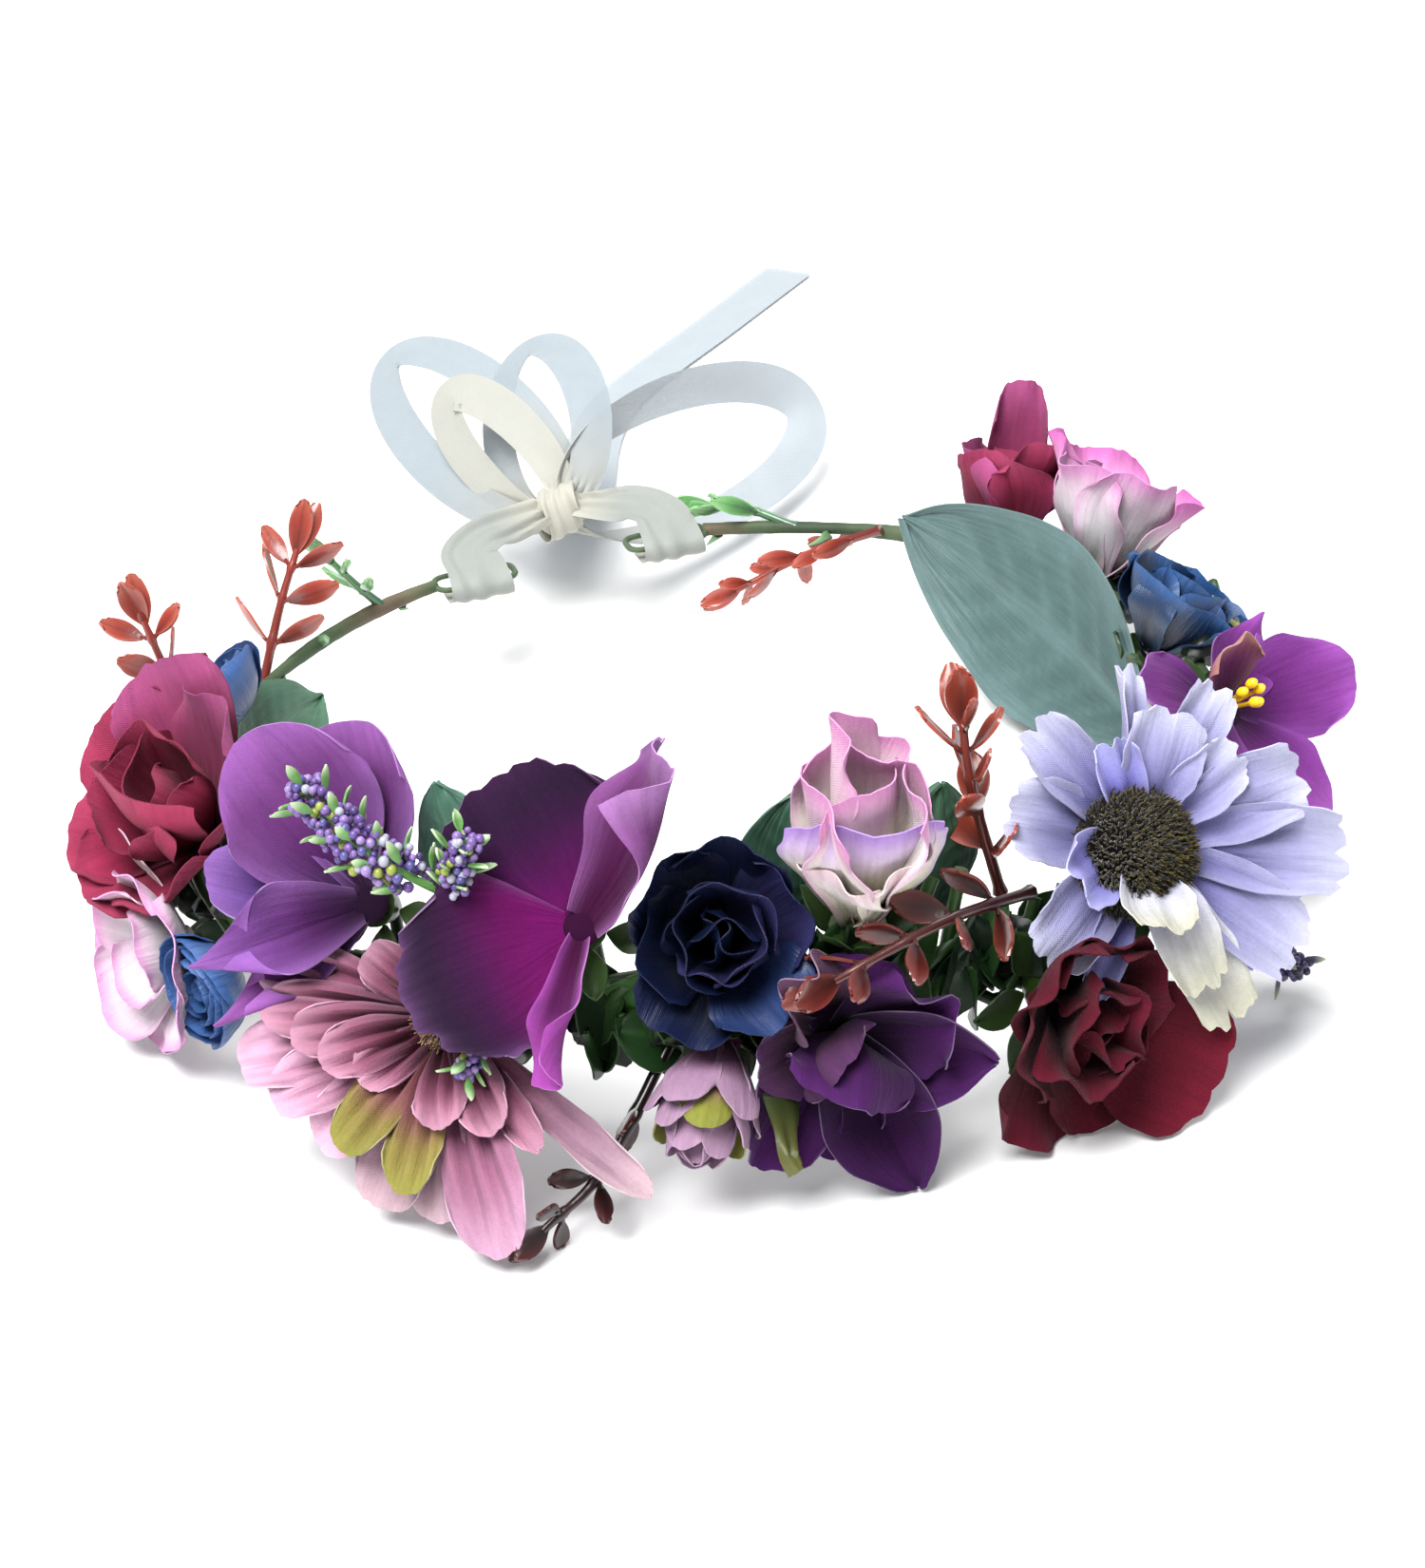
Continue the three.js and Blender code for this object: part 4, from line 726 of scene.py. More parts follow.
# Open blooms: the material pair, how their petals look, and each petal: its angle, lean, length and
# width, and then its wrap (a number), its colours (a list) or other changes (a dict).
ROUND = dict(outline="round", rounding=0.42, wrap=34, bend=14, late=2, ragged=0.035, ruffle=0.8,
             steps=(30, 24))
ROSE_PETAL = dict(outline="fan", rounding=0.22, wrap=75, bend=42, late=1.3, ruffle=1.2, crumple=1.0,
                  ragged=0.03, steps=(24, 18))
TALL = dict(outline="fan", rounding=0.2, wrap=95, bend=12, late=2.4, ruffle=1.5, ragged=0.02, steps=(26, 20))
OPEN = {
    "magenta_orchid": (VELVET, dict(ROUND, keys=MAGENTA, edge="5a2e62", rim=0.25), [
        (122, 83, 26, 33, dict(ragged=0.07, bend=8)),
        (205, 74, 29, 29, dict(bend=-22, ragged=0.06, keys=PLUM, edge="6c4878", rim=0.5, reach=14)),
        (50, 62, 34, 21, dict(outline="spoon", rounding=0.2, wrap=130, bend=22, ruffle=2.2, twist=-58,
                              keys=HOT, edge="a468ac", rim=0.5)),
        (263, 66, 26, 10, dict(outline="spoon", rounding=0.3, wrap=110, bend=-10, ruffle=1.6, twist=60,
                               keys=[*HOT[:2], (1, "7c3078")], edge="a04ca4", rim=0.6)),
    ]),
    "violet_orchid": (PETAL, dict(ROUND, keys=ORCHID, edge="9c6cb4", rim=0.35, ragged=0.01), [
        (132, 80, 33, 28, dict(bend=30, late=1.2, wrap=60)),
        (106, 86, 29, 24, dict(bend=20, late=1.2, wrap=70, crumple=0.9, keys=[*ORCHID[:3], (1, "84488c")])),
        (180, 80, 29, 15, dict(bend=-10, keys=[(0, "1c1038"), (0.5, "3a2260"), (1, "5a3c78")])),
        (214, 68, 30, 15, dict(outline="point", fold=0.5, keys=[*ORCHID[:2], (1, "74448c")])),
        (231, 80, 31, 11, dict(outline="point", wrap=60)),
    ]),
    "purple_orchid": (PETAL, dict(ROUND, keys=PURPLE, edge="9454ac", rim=0.3, ragged=0.01), [
        (345, 80, 28, 19, 30), (268, 78, 25, 19, 30),
        (150, 80, 27, 15, dict(bend=22)),
        (85, 52, 15, 15, dict(bend=45, wrap=90, keys=PURPLE_TIP, edge="a07868")), (205, 76, 18, 14),
        (30, 84, 20, 14, dict(outline="point")),
    ]),
    "violet_lily": (PETAL, dict(ROUND, outline="fan", keys=VIOLET, edge="46205a", rim=0.35, wrap=50,
                                fold=0.2, crumple=1.2), [
        (290, 76, 29, 18, dict(outline="point", fold=0.55, rounding=0)),
        (352, 72, 25, 18, dict(outline="point", fold=0.4, rounding=0, bend=18)),
        (30, 70, 20, 21, dict(bend=30, ruffle=2.2, rounding=0.3)),
        (72, 74, 14, 20, dict(bend=-40, late=1.2, ruffle=1.6, wrap=60)),
        (112, 66, 23, 13, dict(ruffle=2.6, twist=30, keys=PLUM_BROWN, edge="6c4c64")),
        (226, 78, 24, 17, dict(bend=26, wrap=70, ruffle=1.2)), (262, 80, 22, 16, dict(bend=-10)),
        (175, 70, 16, 15, PLUM_BROWN),
        (60, 34, 22, 22, dict(bend=95, late=1.4, ruffle=1.8)),
        (140, 40, 18, 16, dict(bend=80, keys=PLUM_BROWN)),
    ]),
    "burgundy_peony": (ROSE_CLOTH, dict(ROSE_PETAL, keys=BURGUNDY, edge="6c1830", rim=0.25, crumple=1.7,
                                        ruffle=1.6), [
        (320, 62, 29, 25, dict(wrap=60, bend=20, late=2, crumple=0.5, ruffle=0.7, keys=BURGUNDY_PAINTED_LIGHT)),
        (18, 70, 18, 20), (75, 72, 18, 22), (128, 72, 21, 20), (180, 70, 20, 21),
        (238, 78, 24, 20, dict(bend=14)),
        (276, 76, 22, 19, dict(bend=20)), (225, 48, 20, 18, dict(wrap=100, twist=20)),
        (150, 46, 17, 18, dict(wrap=110, crumple=1.6)), (60, 44, 15, 18, dict(wrap=110, crumple=1.4)),
        (340, 38, 16, 18, dict(wrap=120, crumple=1.6)), (270, 36, 17, 16, dict(wrap=130, twist=-25)),
        (110, 22, 14, 14, dict(wrap=140, crumple=1.4)), (240, 18, 13, 13, dict(wrap=140, crumple=1.4)),
    ]),
    "crimson_peony": (ROSE_CLOTH, dict(ROSE_PETAL, keys=CRIMSON, edge="94405c", rim=0.2), [
        (128, 70, 31, 27, dict(bend=30, wrap=55, crumple=0.6, keys=CRIMSON_PINK)),
        (88, 66, 26, 25, dict(bend=36, wrap=60, keys=CRIMSON_PINK)),
        (165, 74, 30, 24, dict(bend=25, crumple=0.7)),
        (30, 70, 21, 22), (210, 72, 26, 24, dict(bend=22)), (254, 72, 24, 24, dict(bend=26)),
        (310, 70, 23, 23, dict(bend=30)), (110, 44, 24, 22, dict(wrap=90, crumple=0.8)),
        (190, 46, 22, 22, 95), (345, 46, 20, 20, 100), (40, 28, 18, 17, 120),
        (272, 34, 25, 34, dict(wrap=80, bend=72, crumple=0.8, ruffle=0.8)),
        (232, 22, 23, 28, dict(wrap=95, bend=62, crumple=0.8, ruffle=0.8)),
    ]),
    "cream_rosebud": (PETAL, dict(TALL, bend=16, crumple=0.9, ragged=0.03, keys=CREAM, edge="b878a8",
                                  rim=0.6, reach=12, steps=(28, 22)), [
        (125, 14, 37, 18, dict(wrap=150, twist=24, keys=CREAM_PINK, ruffle=2)),
        (60, 14, 33, 24, dict(keys=CREAM_PINK, bend=24)),
        (10, 18, 32, 25, dict(keys=[*CREAM[:3], (1, "c888b0")], ruffle=2.2)),
        (178, 20, 31, 25, CREAM_PINK), (300, 12, 31, 24, dict(keys=CREAM_PINK, bend=26)),
        (256, 22, 28, 27, dict(keys=CREAM_VIOLET, edge="9c7cc0", ruffle=1)),
        (325, 32, 22, 20, dict(edge="d8d0c0")), (215, 34, 20, 18, dict(edge="d8d0c0")),
    ]),
    "pink_rose": (PETAL, dict(TALL, wrap=85, bend=10, crumple=0.8, keys=PINK_ROSE, edge="b060a0",
                              rim=0.5, reach=5), [
        (90, 34, 27, 22, dict(keys=WHITE_ROSE, ruffle=2)), (20, 30, 31, 17, dict(outline="point", bend=-8)),
        (55, 18, 24, 20, WHITE_ROSE), (150, 34, 28, 20, WHITE_ROSE),
        (330, 40, 30, 22), (285, 52, 33, 15, dict(outline="point", bend=-18)), (240, 38, 26, 22),
        (190, 16, 22, 18, 120, WHITE_ROSE),
    ]),
    "crimson_rose": (ROSE_CLOTH, dict(TALL, rounding=0.3, late=2, crumple=1.1, keys=CRIMSON,
                                      edge="a04870", rim=0.3), [
        (310, 10, 35, 15, dict(outline="round", wrap=150, keys=CRIMSON_PINK)), (95, 28, 24, 23),
        (170, 24, 26, 20), (30, 26, 24, 20, CRIMSON_PINK), (250, 32, 24, 22),
        (70, 12, 22, 16, 130),
    ]),
    "navy_rose": (SATIN, dict(ROSE_PETAL, keys=NAVY, edge="101c48", rim=0.3, crumple=0.8, ruffle=1), [
        (20, 70, 17, 19, NAVY_VIOLET_SHEEN), (78, 74, 18, 20), (135, 74, 17, 20), (182, 72, 16, 19),
        (236, 72, 19, 18, dict(bend=20)), (302, 62, 20, 18, dict(keys=NAVY_PAINTED_HIGHLIGHT, bend=26)),
        (55, 46, 17, 18, 100, NAVY_VIOLET_SHEEN), (120, 50, 15, 18, 95),
        (190, 46, 15, 17, 100), (262, 44, 15, 15, 100, NAVY_VIOLET_SHEEN),
        (330, 40, 16, 16, 110, NAVY_VIOLET_SHEEN), (90, 26, 13, 14, 130),
        (215, 22, 12, 13, 140), (345, 18, 12, 11, 150),
    ]),
    "blue_rose": (SATIN, dict(ROSE_PETAL, keys=BLUE, edge="386494", rim=0.2, crumple=0.7, bend=50), [
        *[(20 + 72 * k, 62, 20, 23) for k in range(5)],
        *[(50 + 90 * k, 38, 18, 20, 110) for k in range(4)],
        (70, 18, 15, 14, 130), (190, 18, 14, 14, 130),
        (310, 16, 14, 13, 140),
    ]),
    "cream_rose": (PETAL, dict(ROUND, outline="fan", rounding=0.35, keys=WHITE_ROSE, edge="c088b4",
                               rim=0.5, reach=5, wrap=60, bend=26, ragged=0.01, crumple=0.35), [
        (165, 84, 29, 24, dict(keys=CREAM_PINK, bend=20)), (205, 72, 22, 22), (100, 64, 17, 20),
        (275, 76, 20, 24), (315, 72, 20, 20), (20, 72, 18, 20), (240, 62, 22, 20),
        (150, 50, 17, 18, 90), (260, 44, 15, 17, 95), (30, 40, 13, 16, 100),
    ]),
    "lilac_rose": (PETAL, dict(ROUND, outline="fan", rounding=0.25, keys=LILAC, edge="b088c4", rim=0.4,
                               wrap=80, bend=18), [
        (80, 36, 27, 20), (20, 30, 24, 18), (160, 24, 24, 18), (250, 18, 20, 16), (320, 26, 20, 16),
    ]),
    "pink_bud": (PETAL, dict(outline="spoon", rounding=0.35, wrap=70, bend=26, late=1.8, ruffle=0.3,
                             crumple=0.5, ragged=0.01, edge="a4849c", rim=0.4, reach=5, steps=(24, 18),
                             keys=BUD), bud_petals()),
    "pink_zinnia": (PETAL, dict(outline="spoon", rounding=0.26, wrap=60, bend=-14, late=1.4, ribs=3,
                                rib_depth=1.0, ruffle=0.4, crumple=0.7, ragged=0.015, keys=ZINNIA,
                                edge="c8a0b8", rim=0.2, steps=(24, 24)), zinnia_petals()),
    "lavender_daisy": (PETAL, dict(outline="strap", rounding=0.14, notch=0.06, wrap=50, bend=-10, late=1.6,
                                   ribs=2, rib_depth=0.5, ruffle=0.7, crumple=0.8, ragged=0.05,
                                   keys=LAVENDER, edge="b8b8d0", rim=0.3, steps=(24, 18)), daisy_petals()),
}

# Closed blooms: their radius and depth, and the layers of their petals from outside in, each with
# how many, the share of the radius, how far up they reach, their span in degrees and their flare.
CLOSED = {"blue_rose_low": (9, 12), "blue_rose_back": (11, 13)}
BUD_LAYERS = [(4, 0.96, 0.8, 130, 1.0), (4, 0.8, 0.86, 130, 0.7), (3, 0.6, 0.92, 150, 0.5),
              (3, 0.4, 0.97, 160, 0.3), (2, 0.22, 1.0, 190, 0.2)]


def make_petals():
    for name, (look, style, petals) in OPEN.items():
        shape = Shape()
        bloom_petals(shape, name, petals, style, random.Random(name))
        shape.piece(name + "_bloom", look, "crown", name + "_petals")
    for name, (radius, depth) in CLOSED.items():
        shape = Shape()
        bud_layers(shape, name, radius, depth, random.Random(name), keys=SKY, edge="4c74b8", rim=0.2)
        shape.piece(name + "_bloom", SATIN, "crown", name + "_petals")


def fuzzy_centre(name, radius, height, hairs, keys, reach, shift=(0, 0)):
    """A plush button, moved by shift: a dome under many short fibres, darker between them; the dark dome and
    the darker roots are partly the centre's own colour and partly painted shade.
    """
    rng, shape = random.Random(name), Shape()
    home, _, turn = seat_of(name)
    home = home + turn @ np.array((*shift, 0))
    dome, lift = np.array((radius, radius, height * 0.75)), UP * height * 0.3
    # The dome takes the darkest colour, partly painted shade under the fibres.
    shape.ball(home + turn @ lift, dome, tone(keys[0][1]), turn, 10, 20)
    for k in range(hairs):
        away = math.sqrt((k + 0.5) / hairs)
        a = k * GOLDEN + rng.uniform(-0.2, 0.2)
        lean = math.asin(min(0.98, away))
        out = np.array((math.cos(a) * math.sin(lean), math.sin(a) * math.sin(lean), math.cos(lean)))
        root = out * dome * 0.95 + lift
        tip = out + np.array([rng.uniform(-0.45, 0.45) for _ in range(3)])
        size = reach * rng.uniform(0.5, 1.1)
        hair = np.array([root, root + unit(tip) * size * 0.6, root + unit(tip + UP * 0.3) * size])
        path = home + (turn @ hair.T).T
        # Each fibre is darker towards its root: partly painted shade between the fibres.
        shade = grade(keys, np.clip(rng.uniform(-0.25, 0.45) + np.array((0, 0.35, 0.8)), 0, 1))
        shape.tube(path, (0.24, 0.17, 0.04), shade, 3)
    return shape.piece(name + "_fuzz", FUZZ, "crown", name + "_centre", crease=180)


def stamens(name):
    """The orchid's yellow stamens on a small column."""
    rng, shape = random.Random(name), Shape()
    home, _, turn = seat_of(name)
    for k in range(5):
        a = 1.2566 * k  # a fifth of a turn apart
        lean = np.array((math.cos(a), math.sin(a), 0)) * 0.9
        tip = lean * rng.uniform(1.6, 2.3) + UP * rng.uniform(6.2, 8)
        path = through([lean * 0.3, lean + UP * 3, tip], np.linspace(0, 1, 7))
        shape.tube(home + path @ turn.T, 0.35, tone("d8a818"), 6)
        shape.ball(home + turn @ tip, (0.9, 0.9, 1.3), tone("f2cc20"), turn, 6, 8)
    return shape.piece(name + "_stamens", BEADS, "crown", name + "_centre")


# ---- leaves, sprigs and sprays ----


def leaf(name, start, end, face, width, arch, keys, edge):
    """A veined cloth leaf between two points of the crown, with its face turned towards a side."""
    rng, shape = random.Random(name), Shape()
    start, end = ring_point(*start), ring_point(*end)
    length = np.linalg.norm(end - start)
    grid, u, v = petal(length, width, rng, "leaf", 0, 30, 0, 1.4, steps=(40, 24))
    veins = np.cos(26 * (v - 0.22 * abs(u))) ** 8 * step(0.02, 0.2, abs(u)) * (1 - abs(u) ** 4)
    rib = midrib(u, 9)
    grid[..., 2] += length * 2 * arch * (v * (1 - v)) - 0.25 * veins - 0.5 * rib
    tint = colours(u, v, keys, edge, 0.4)
    tint = tint + (tone(edge) - tint) * (0.16 * veins + 0.4 * rib * (1 - 0.6 * v))[..., None]
    grid = grid @ blade_turn(end - start, facing(*face)).T + start
    shape.sheet(grid, tint, cloth_of(u, v, width, length), 0.45)
    return shape.piece(name + "_cloth", LEAF_CLOTH, "crown", name)


# Each leaf's start and end, its face, width and arch, and its colours from base to tip and at its edge.
LEAVES = [
    ("leaf_inner_right", (76, 79, 15), (134, 84, 31), (104, 25, 180), 36, -0.17,
     [(0, "2c4644"), (0.5, "3e5856"), (1, "344e4a")], "70888a"),
    ("leaf_left_back", (-112, 85, 24), (-138, 85, 17), (-125, 40, 180), 18, 0,
     [(0, "203c2e"), (1, "345c46")], "648c70"),
    ("leaf_front_left", (-40, 86, 33), (-46, 84, 60), (-42, 10, 180), 19, 0,
     [(0, "14302a"), (1, "2a5444")], "5c8470"),
    ("leaf_front_middle", (-10, 86, 33), (-7, 83, 58), (-8, 10, 180), 18, 0,
     [(0, "0c2018"), (1, "183c2a")], "48705c"),
    ("leaf_front_right", (6, 86, 31), (9, 84, 54), (8, 10, 180), 17, 0,
     [(0, "0c2018"), (1, "284c30")], "48705c"),
]

RUST = [(0, "401410"), (0.6, "742a1c"), (1, "984434")]
BROWN = [(0, "240a08"), (0.6, "4c1814"), (1, "6c302a")]
DARK = [(0, "0c0404"), (0.6, "280c0e"), (1, "401818")]
RED = [(0, "5c1c14"), (0.6, "8c3428"), (1, "a85444")]
GREEN = [(0, "30543a"), (0.6, "5c9458"), (1, "80b474")]
# Each sprig's stem, how many pairs of leaves it has and their size, its colours, and their plumpness.
SPRIGS = [
    ("sprig_upright", [(12.5, 91, 36), (10.5, 89, 55), (11, 86, 65)], 5, 11, RUST, 0.52),
    ("sprig_front", [(13, 98, 39), (2, 107, 45), (-8, 112, 42)], 4, 10.5, BROWN, 0.52),
    ("sprig_low", [(-21, 92, 24), (-27, 109, 10), (-31, 119, 5)], 3, 8.5, DARK),
    ("sprig_left", [(-112, 91, 27), (-115, 96, 38), (-115, 99, 50)], 3, 11, RED, 0.46),
    ("sprig_left_back", [(-133, 93, 20), (-138, 92, 34), (-142, 91, 44)], 3, 12, RED, 0.42),
    ("sprig_right_back", [(138, 87, 26), (148, 86, 20), (158, 84, 13)], 5, 10, RED, 0.36),
    ("twig_left", [(-154, 90, 24), (-151, 91, 30), (-148, 92, 37)], 2, 10, GREEN, 0.3),
    ("twig_right", [(150, 90, 24), (156, 92, 27), (161, 94, 27)], 2, 11, GREEN, 0.34),
]


def sprig(name, stem, pairs, size, keys, plump=0.5):
    """A moulded sprig: a tapering stem with joints, and pairs of small cupped oval leaves."""
    rng, shape = random.Random(name), Shape()
    route = [ring_point(*p) for p in stem]
    t = np.linspace(0, 1, 25)
    path = through(route, t)
    knots = 1 + 0.35 * np.exp(-(((t * (pairs + 0.6)) % 1 - 0.02) * 9) ** 2)
    shape.tube(path, (1.0 - 0.35 * t) * knots, grade(keys, t * 0.5), 8)

    def oval(place, along, face, length):
        made = petal(length, length * plump, rng, "oval", 0.12, 40, 22, 1.3, ruffle=0.1, crumple=0.25,
                     ragged=0, steps=(12, 10))
        tint = colours(*made[1:], keys=keys, edge=keys[-1][1], rim=0.8, reach=4)
        rib = midrib(made[1], 6)[..., None]
        put(shape, made, blade_turn(along, face), place, tint * (1 - 0.3 * rib), (4, length), 0.5)

    for k in range(pairs):
        place = (k + 1) / (pairs + 0.6)
        here = through(route, place)
        ahead = unit(through(route, place + 0.02) - through(route, place - 0.02))
        swing = UP if k % 2 else facing(stem[0][0], 0, 90)
        side = unit(np.cross(ahead, swing))
        for s in (-1, 1):
            along = ahead * 0.7 + side * s * rng.uniform(0.9, 1.2) + swing * rng.uniform(-0.3, 0.3)
            face = ahead * 0.5 - side * s * 0.5 + swing * rng.uniform(0.3, 1) * rng.choice((-1, 1))
            oval(here + unit(along) * 1.5, along, face, size * (1 - 0.25 * place) * rng.uniform(0.85, 1.1))
            stalk = [here, here + unit(along) * 1, here + unit(along) * 2.2]
            shape.tube(stalk, 0.45, grade(keys, 0.2)[None], 6)
    end = unit(through(route, 1) - through(route, 0.95))
    for s in (-1, 1):
        oval(path[-1] - end, end + facing(stem[0][0], 30) * 0.12 * s, facing(-16, 20) * s, size * 0.9)
    return shape.piece(name + "_moulding", PLASTIC, "crown", name)


def beads_along(shape, rng, stem, spread_out, beads, bead, tints, leaflets, green="5c8a48"):
    """Small beads clustered round a stem, with leaflets between them."""
    t = np.linspace(0, 1, 13)
    shape.tube(through(stem, t), 0.75 - 0.35 * t, tone("4c7838"), 6)
    ahead = unit(through(stem, 0.98) - through(stem, 0.6))
    side = unit(np.cross(ahead, UP))
    over = np.cross(side, ahead)
    for k in range(beads):
        place = 0.3 + 0.72 * k / (beads - 1)
        a = k * GOLDEN + rng.uniform(-0.3, 0.3)
        out = side * math.cos(a) + over * math.sin(a)
        away = spread_out * (1 - 0.45 * max(place - 0.5, 0)) * rng.uniform(0.45, 1.15)
        size = bead * rng.uniform(0.75, 1.2)
        shape.ball(through(stem, place) + out * away, (size,) * 3, tone(rng.choice(tints)), rows=5, cols=7)
    for k in range(leaflets):
        here = through(stem, 0.25 + 0.75 * (k + 0.5) / leaflets)
        a = k * GOLDEN + 1
        out = side * math.cos(a) + over * math.sin(a)
        made = petal(rng.uniform(3.2, 5), 1.7, rng, "leaf", 0, 70, 10, crumple=0, ruffle=0, steps=(6, 4))
        tint = colours(*made[1:], keys=[(0, green), (0.5, green), (1, "b4c4a0")])
        turn = blade_turn(out + ahead * 0.6, ahead - out)
        put(shape, made, turn, here + out * spread_out * 0.75, tint, (2, 4), 0.35)


def sprays():
    lilac = ["6c5090", "5e4484", "7c64a0", "8c74ac", "4e4880", "46346c", "889440", "9c9cac", "705890"]
    rng, shape = random.Random("berry_spray"), Shape()
    stem = [ring_point(*p) for p in ((-37, 99, 48), (-45, 105, 59), (-53, 102, 66))]
    beads_along(shape, rng, stem, 3.6, 210, 0.74, lilac, 26)
    side = [ring_point(*p) for p in ((-39, 100, 49), (-38, 103, 57), (-36.5, 103, 63))]
    beads_along(shape, rng, side, 2.4, 80, 0.72, lilac, 12)
    low = [ring_point(*p) for p in ((-36, 108, 33), (-36.5, 111, 30), (-37, 113, 27.5))]
    beads_along(shape, rng, low, 1.7, 30, 0.7, lilac, 7)
    shape.piece("berry_spray_beads", BEADS, "crown", "berry_spray")
    rng, shape = random.Random("berry_tip"), Shape()
    stem = [ring_point(*p) for p in ((37, 99, 20), (38, 108, 13), (39, 114, 7))]
    dark = ["2c2444", "3c3060", "4c4070", "241c38", "54486c"]
    beads_along(shape, rng, stem, 2.9, 60, 0.9, dark, 10, "34304c")
    shape.piece("berry_tip_right_beads", BEADS, "crown", "berry_tip_right")


# ---- vine ----


def vine_path(count):
    """The ring's middle line, a little wavy except at its ends."""
    points = []
    for t in np.linspace(-1, 1, count):
        a = t * RING_END
        fade = math.cos(math.radians(90 * t))
        out = RING_RADIUS + 1.2 * fade * math.sin(math.radians(4 * a) + 1)
        points.append(ring_point(a, out, RING_HEIGHT + fade * math.sin(math.radians(6 * a))))
    return np.array(points)


def eyelet_path(side, count=49):
    """A flat oval of wire: two straight bars and two half circles."""
    t = np.linspace(0, 2 * math.pi, count)
    c, s = np.cos(t), np.sin(t)
    x = np.sign(c) * 4.5 * np.minimum(1, abs(c) * 2.2) + EYELET_HALF * c
    centre = np.array((side * EYELET_MIDDLE, BAR_Y - EYELET_HALF, RING_HEIGHT))
    return centre + np.stack([x, EYELET_HALF * np.sign(s) * abs(s) ** 0.6, 0 * t], -1)


def vine():
    rng, shape = random.Random("vine"), Shape()
    path = vine_path(420)
    t = np.linspace(0, 1, len(path))
    mottled = 0.5 + 0.5 * np.sin(t * 61) * np.sin(t * 23 + 1)
    tints = grade([(0, "2c3c28"), (0.5, "44543a"), (1, "5c5040")], mottled)

    def wound(along, a):
        """The steps of tape that winds round the vine 92 times."""
        return 1 + 0.07 * ((along * 92 + a / 6.283) % 1) + 0.05 * np.sin(along * 140 + 2 * a)

    shape.tube(path, 1.3 + 0.25 * np.sin(t * 47) * np.sin(t * 19), tints, 14, wound)
    steps = np.linspace(0, 1, 7)
    for k in range(26):
        a = (k - 12.5) * 12.6 + rng.uniform(-3, 3)
        if 70 < a < 138:  # a thorn there would stick through the large leaf
            continue
        here = ring_point(a, RING_RADIUS, RING_HEIGHT)
        out = facing(a, rng.choice((-60, -35, 30, 65)), rng.choice((0, 150, 180)))
        along = facing(a, 0, 90 if rng.random() < 0.5 else -90)
        tip = here + out * rng.uniform(4.2, 6) + along * 2.5
        thorn = through([here + out * 1.4, here + out * 3 + along * 0.6, tip], steps)
        shape.tube(thorn, np.linspace(1.3, 0.12, 7), grade([(0, "4a6a44"), (1, "8cb488")], steps), 6)
    shape.piece("vine_tape_wrap", TAPE, "crown", "vine_wrap")
    eyes = Shape()
    for side in (-1, 1):
        eyes.tube(eyelet_path(side), 0.6, tone("4c5c44"), 8)
    eyes.piece("wire_eyelets", WIRE, "crown", "wire_core")


# ---- ribbon ----


def band(route, across, width, gather, lengthways=64, cols=14, pleats=4, deep=0.9):
    """A ribbon along a route. Where gather is above 0 it is drawn into pleats."""
    v = np.linspace(0, 1, lengthways + 1)
    u = np.linspace(-1, 1, cols + 1)
    line, wide = through(route, v), unit(through(across, v))
    ahead = unit(np.gradient(line, axis=0))
    wide = unit(wide - ahead * (wide * ahead).sum(-1, keepdims=True))
    normal = np.cross(wide, ahead)
    half = u[None, :, None] * width(v)[:, None, None] / 2
    drawn = gather(v)[:, None]
    u, v = u[None], v[:, None]
    fold = deep * drawn * np.sin(math.pi * pleats * u + 2 * v + 1.3 * np.sin(2.3 * u + 5 * v))
    fold = fold + 0.25 * np.sin(9 * v + 2.2 * u)
    grid = line[:, None] + wide[:, None] * half + normal[:, None] * fold[..., None]
    length = np.linalg.norm(np.diff(line, axis=0), axis=1).sum()
    return grid, u + 0 * v, v, length


def bow_loop(length, breadth, axis, side, width):
    """One loop from the knot and back, in the plane of its axis and the side it opens to."""
    along = unit(np.array(axis, float))
    opened = np.array(side, float)
    opened = unit(opened - along * np.dot(opened, along))
    across = np.cross(along, opened)
    route, wide = [], []
    for a in np.linspace(0, 2 * math.pi, 17):
        route.append(KNOT + along * length * (1 - math.cos(a)) / 2 + opened * breadth / 2 * math.sin(a))
        outwards = along * -math.cos(a) + opened * math.sin(a)
        wide.append(across + outwards * 2.8 * math.sin(a / 2))
    return band(route, wide, lambda v: width * (0.4 + 0.6 * np.sin(math.pi * v) ** 0.7),
                lambda v: np.clip(1 - 2.6 * np.sin(math.pi * v), 0, 1), 96)


# Each loop's length, breadth, direction, the side it opens to, and the ribbon's width and colour.
BOW_LOOPS = {
    "bow_loop_left": (67, 22, (-17.9, 63.5, 14), (0.8, 0.1, 0.6), 11, "929ca2"),
    "bow_loop_middle": (52, 21, (9.2, 46.4, 16), (0.85, -0.1, 0.4), 10.5, "929ca2"),
    "bow_loop_small": (38, 13, (-13.1, 33.2, 16), (0.7, 0, 0.7), 10, "a2a29a"),
    "bow_loop_right": (86, 28, (69.8, 48.7, -10), (-0.25, 0.52, 0.82), 9.5, "a6aeb4"),
}
IVORY, STRAP_TONE, TAIL_TONE = "acaa9e", "8c908b", "aeb6bc"
RIBBON_WIDTH, LOOP_WIDTH = 12, 10  # laid flat


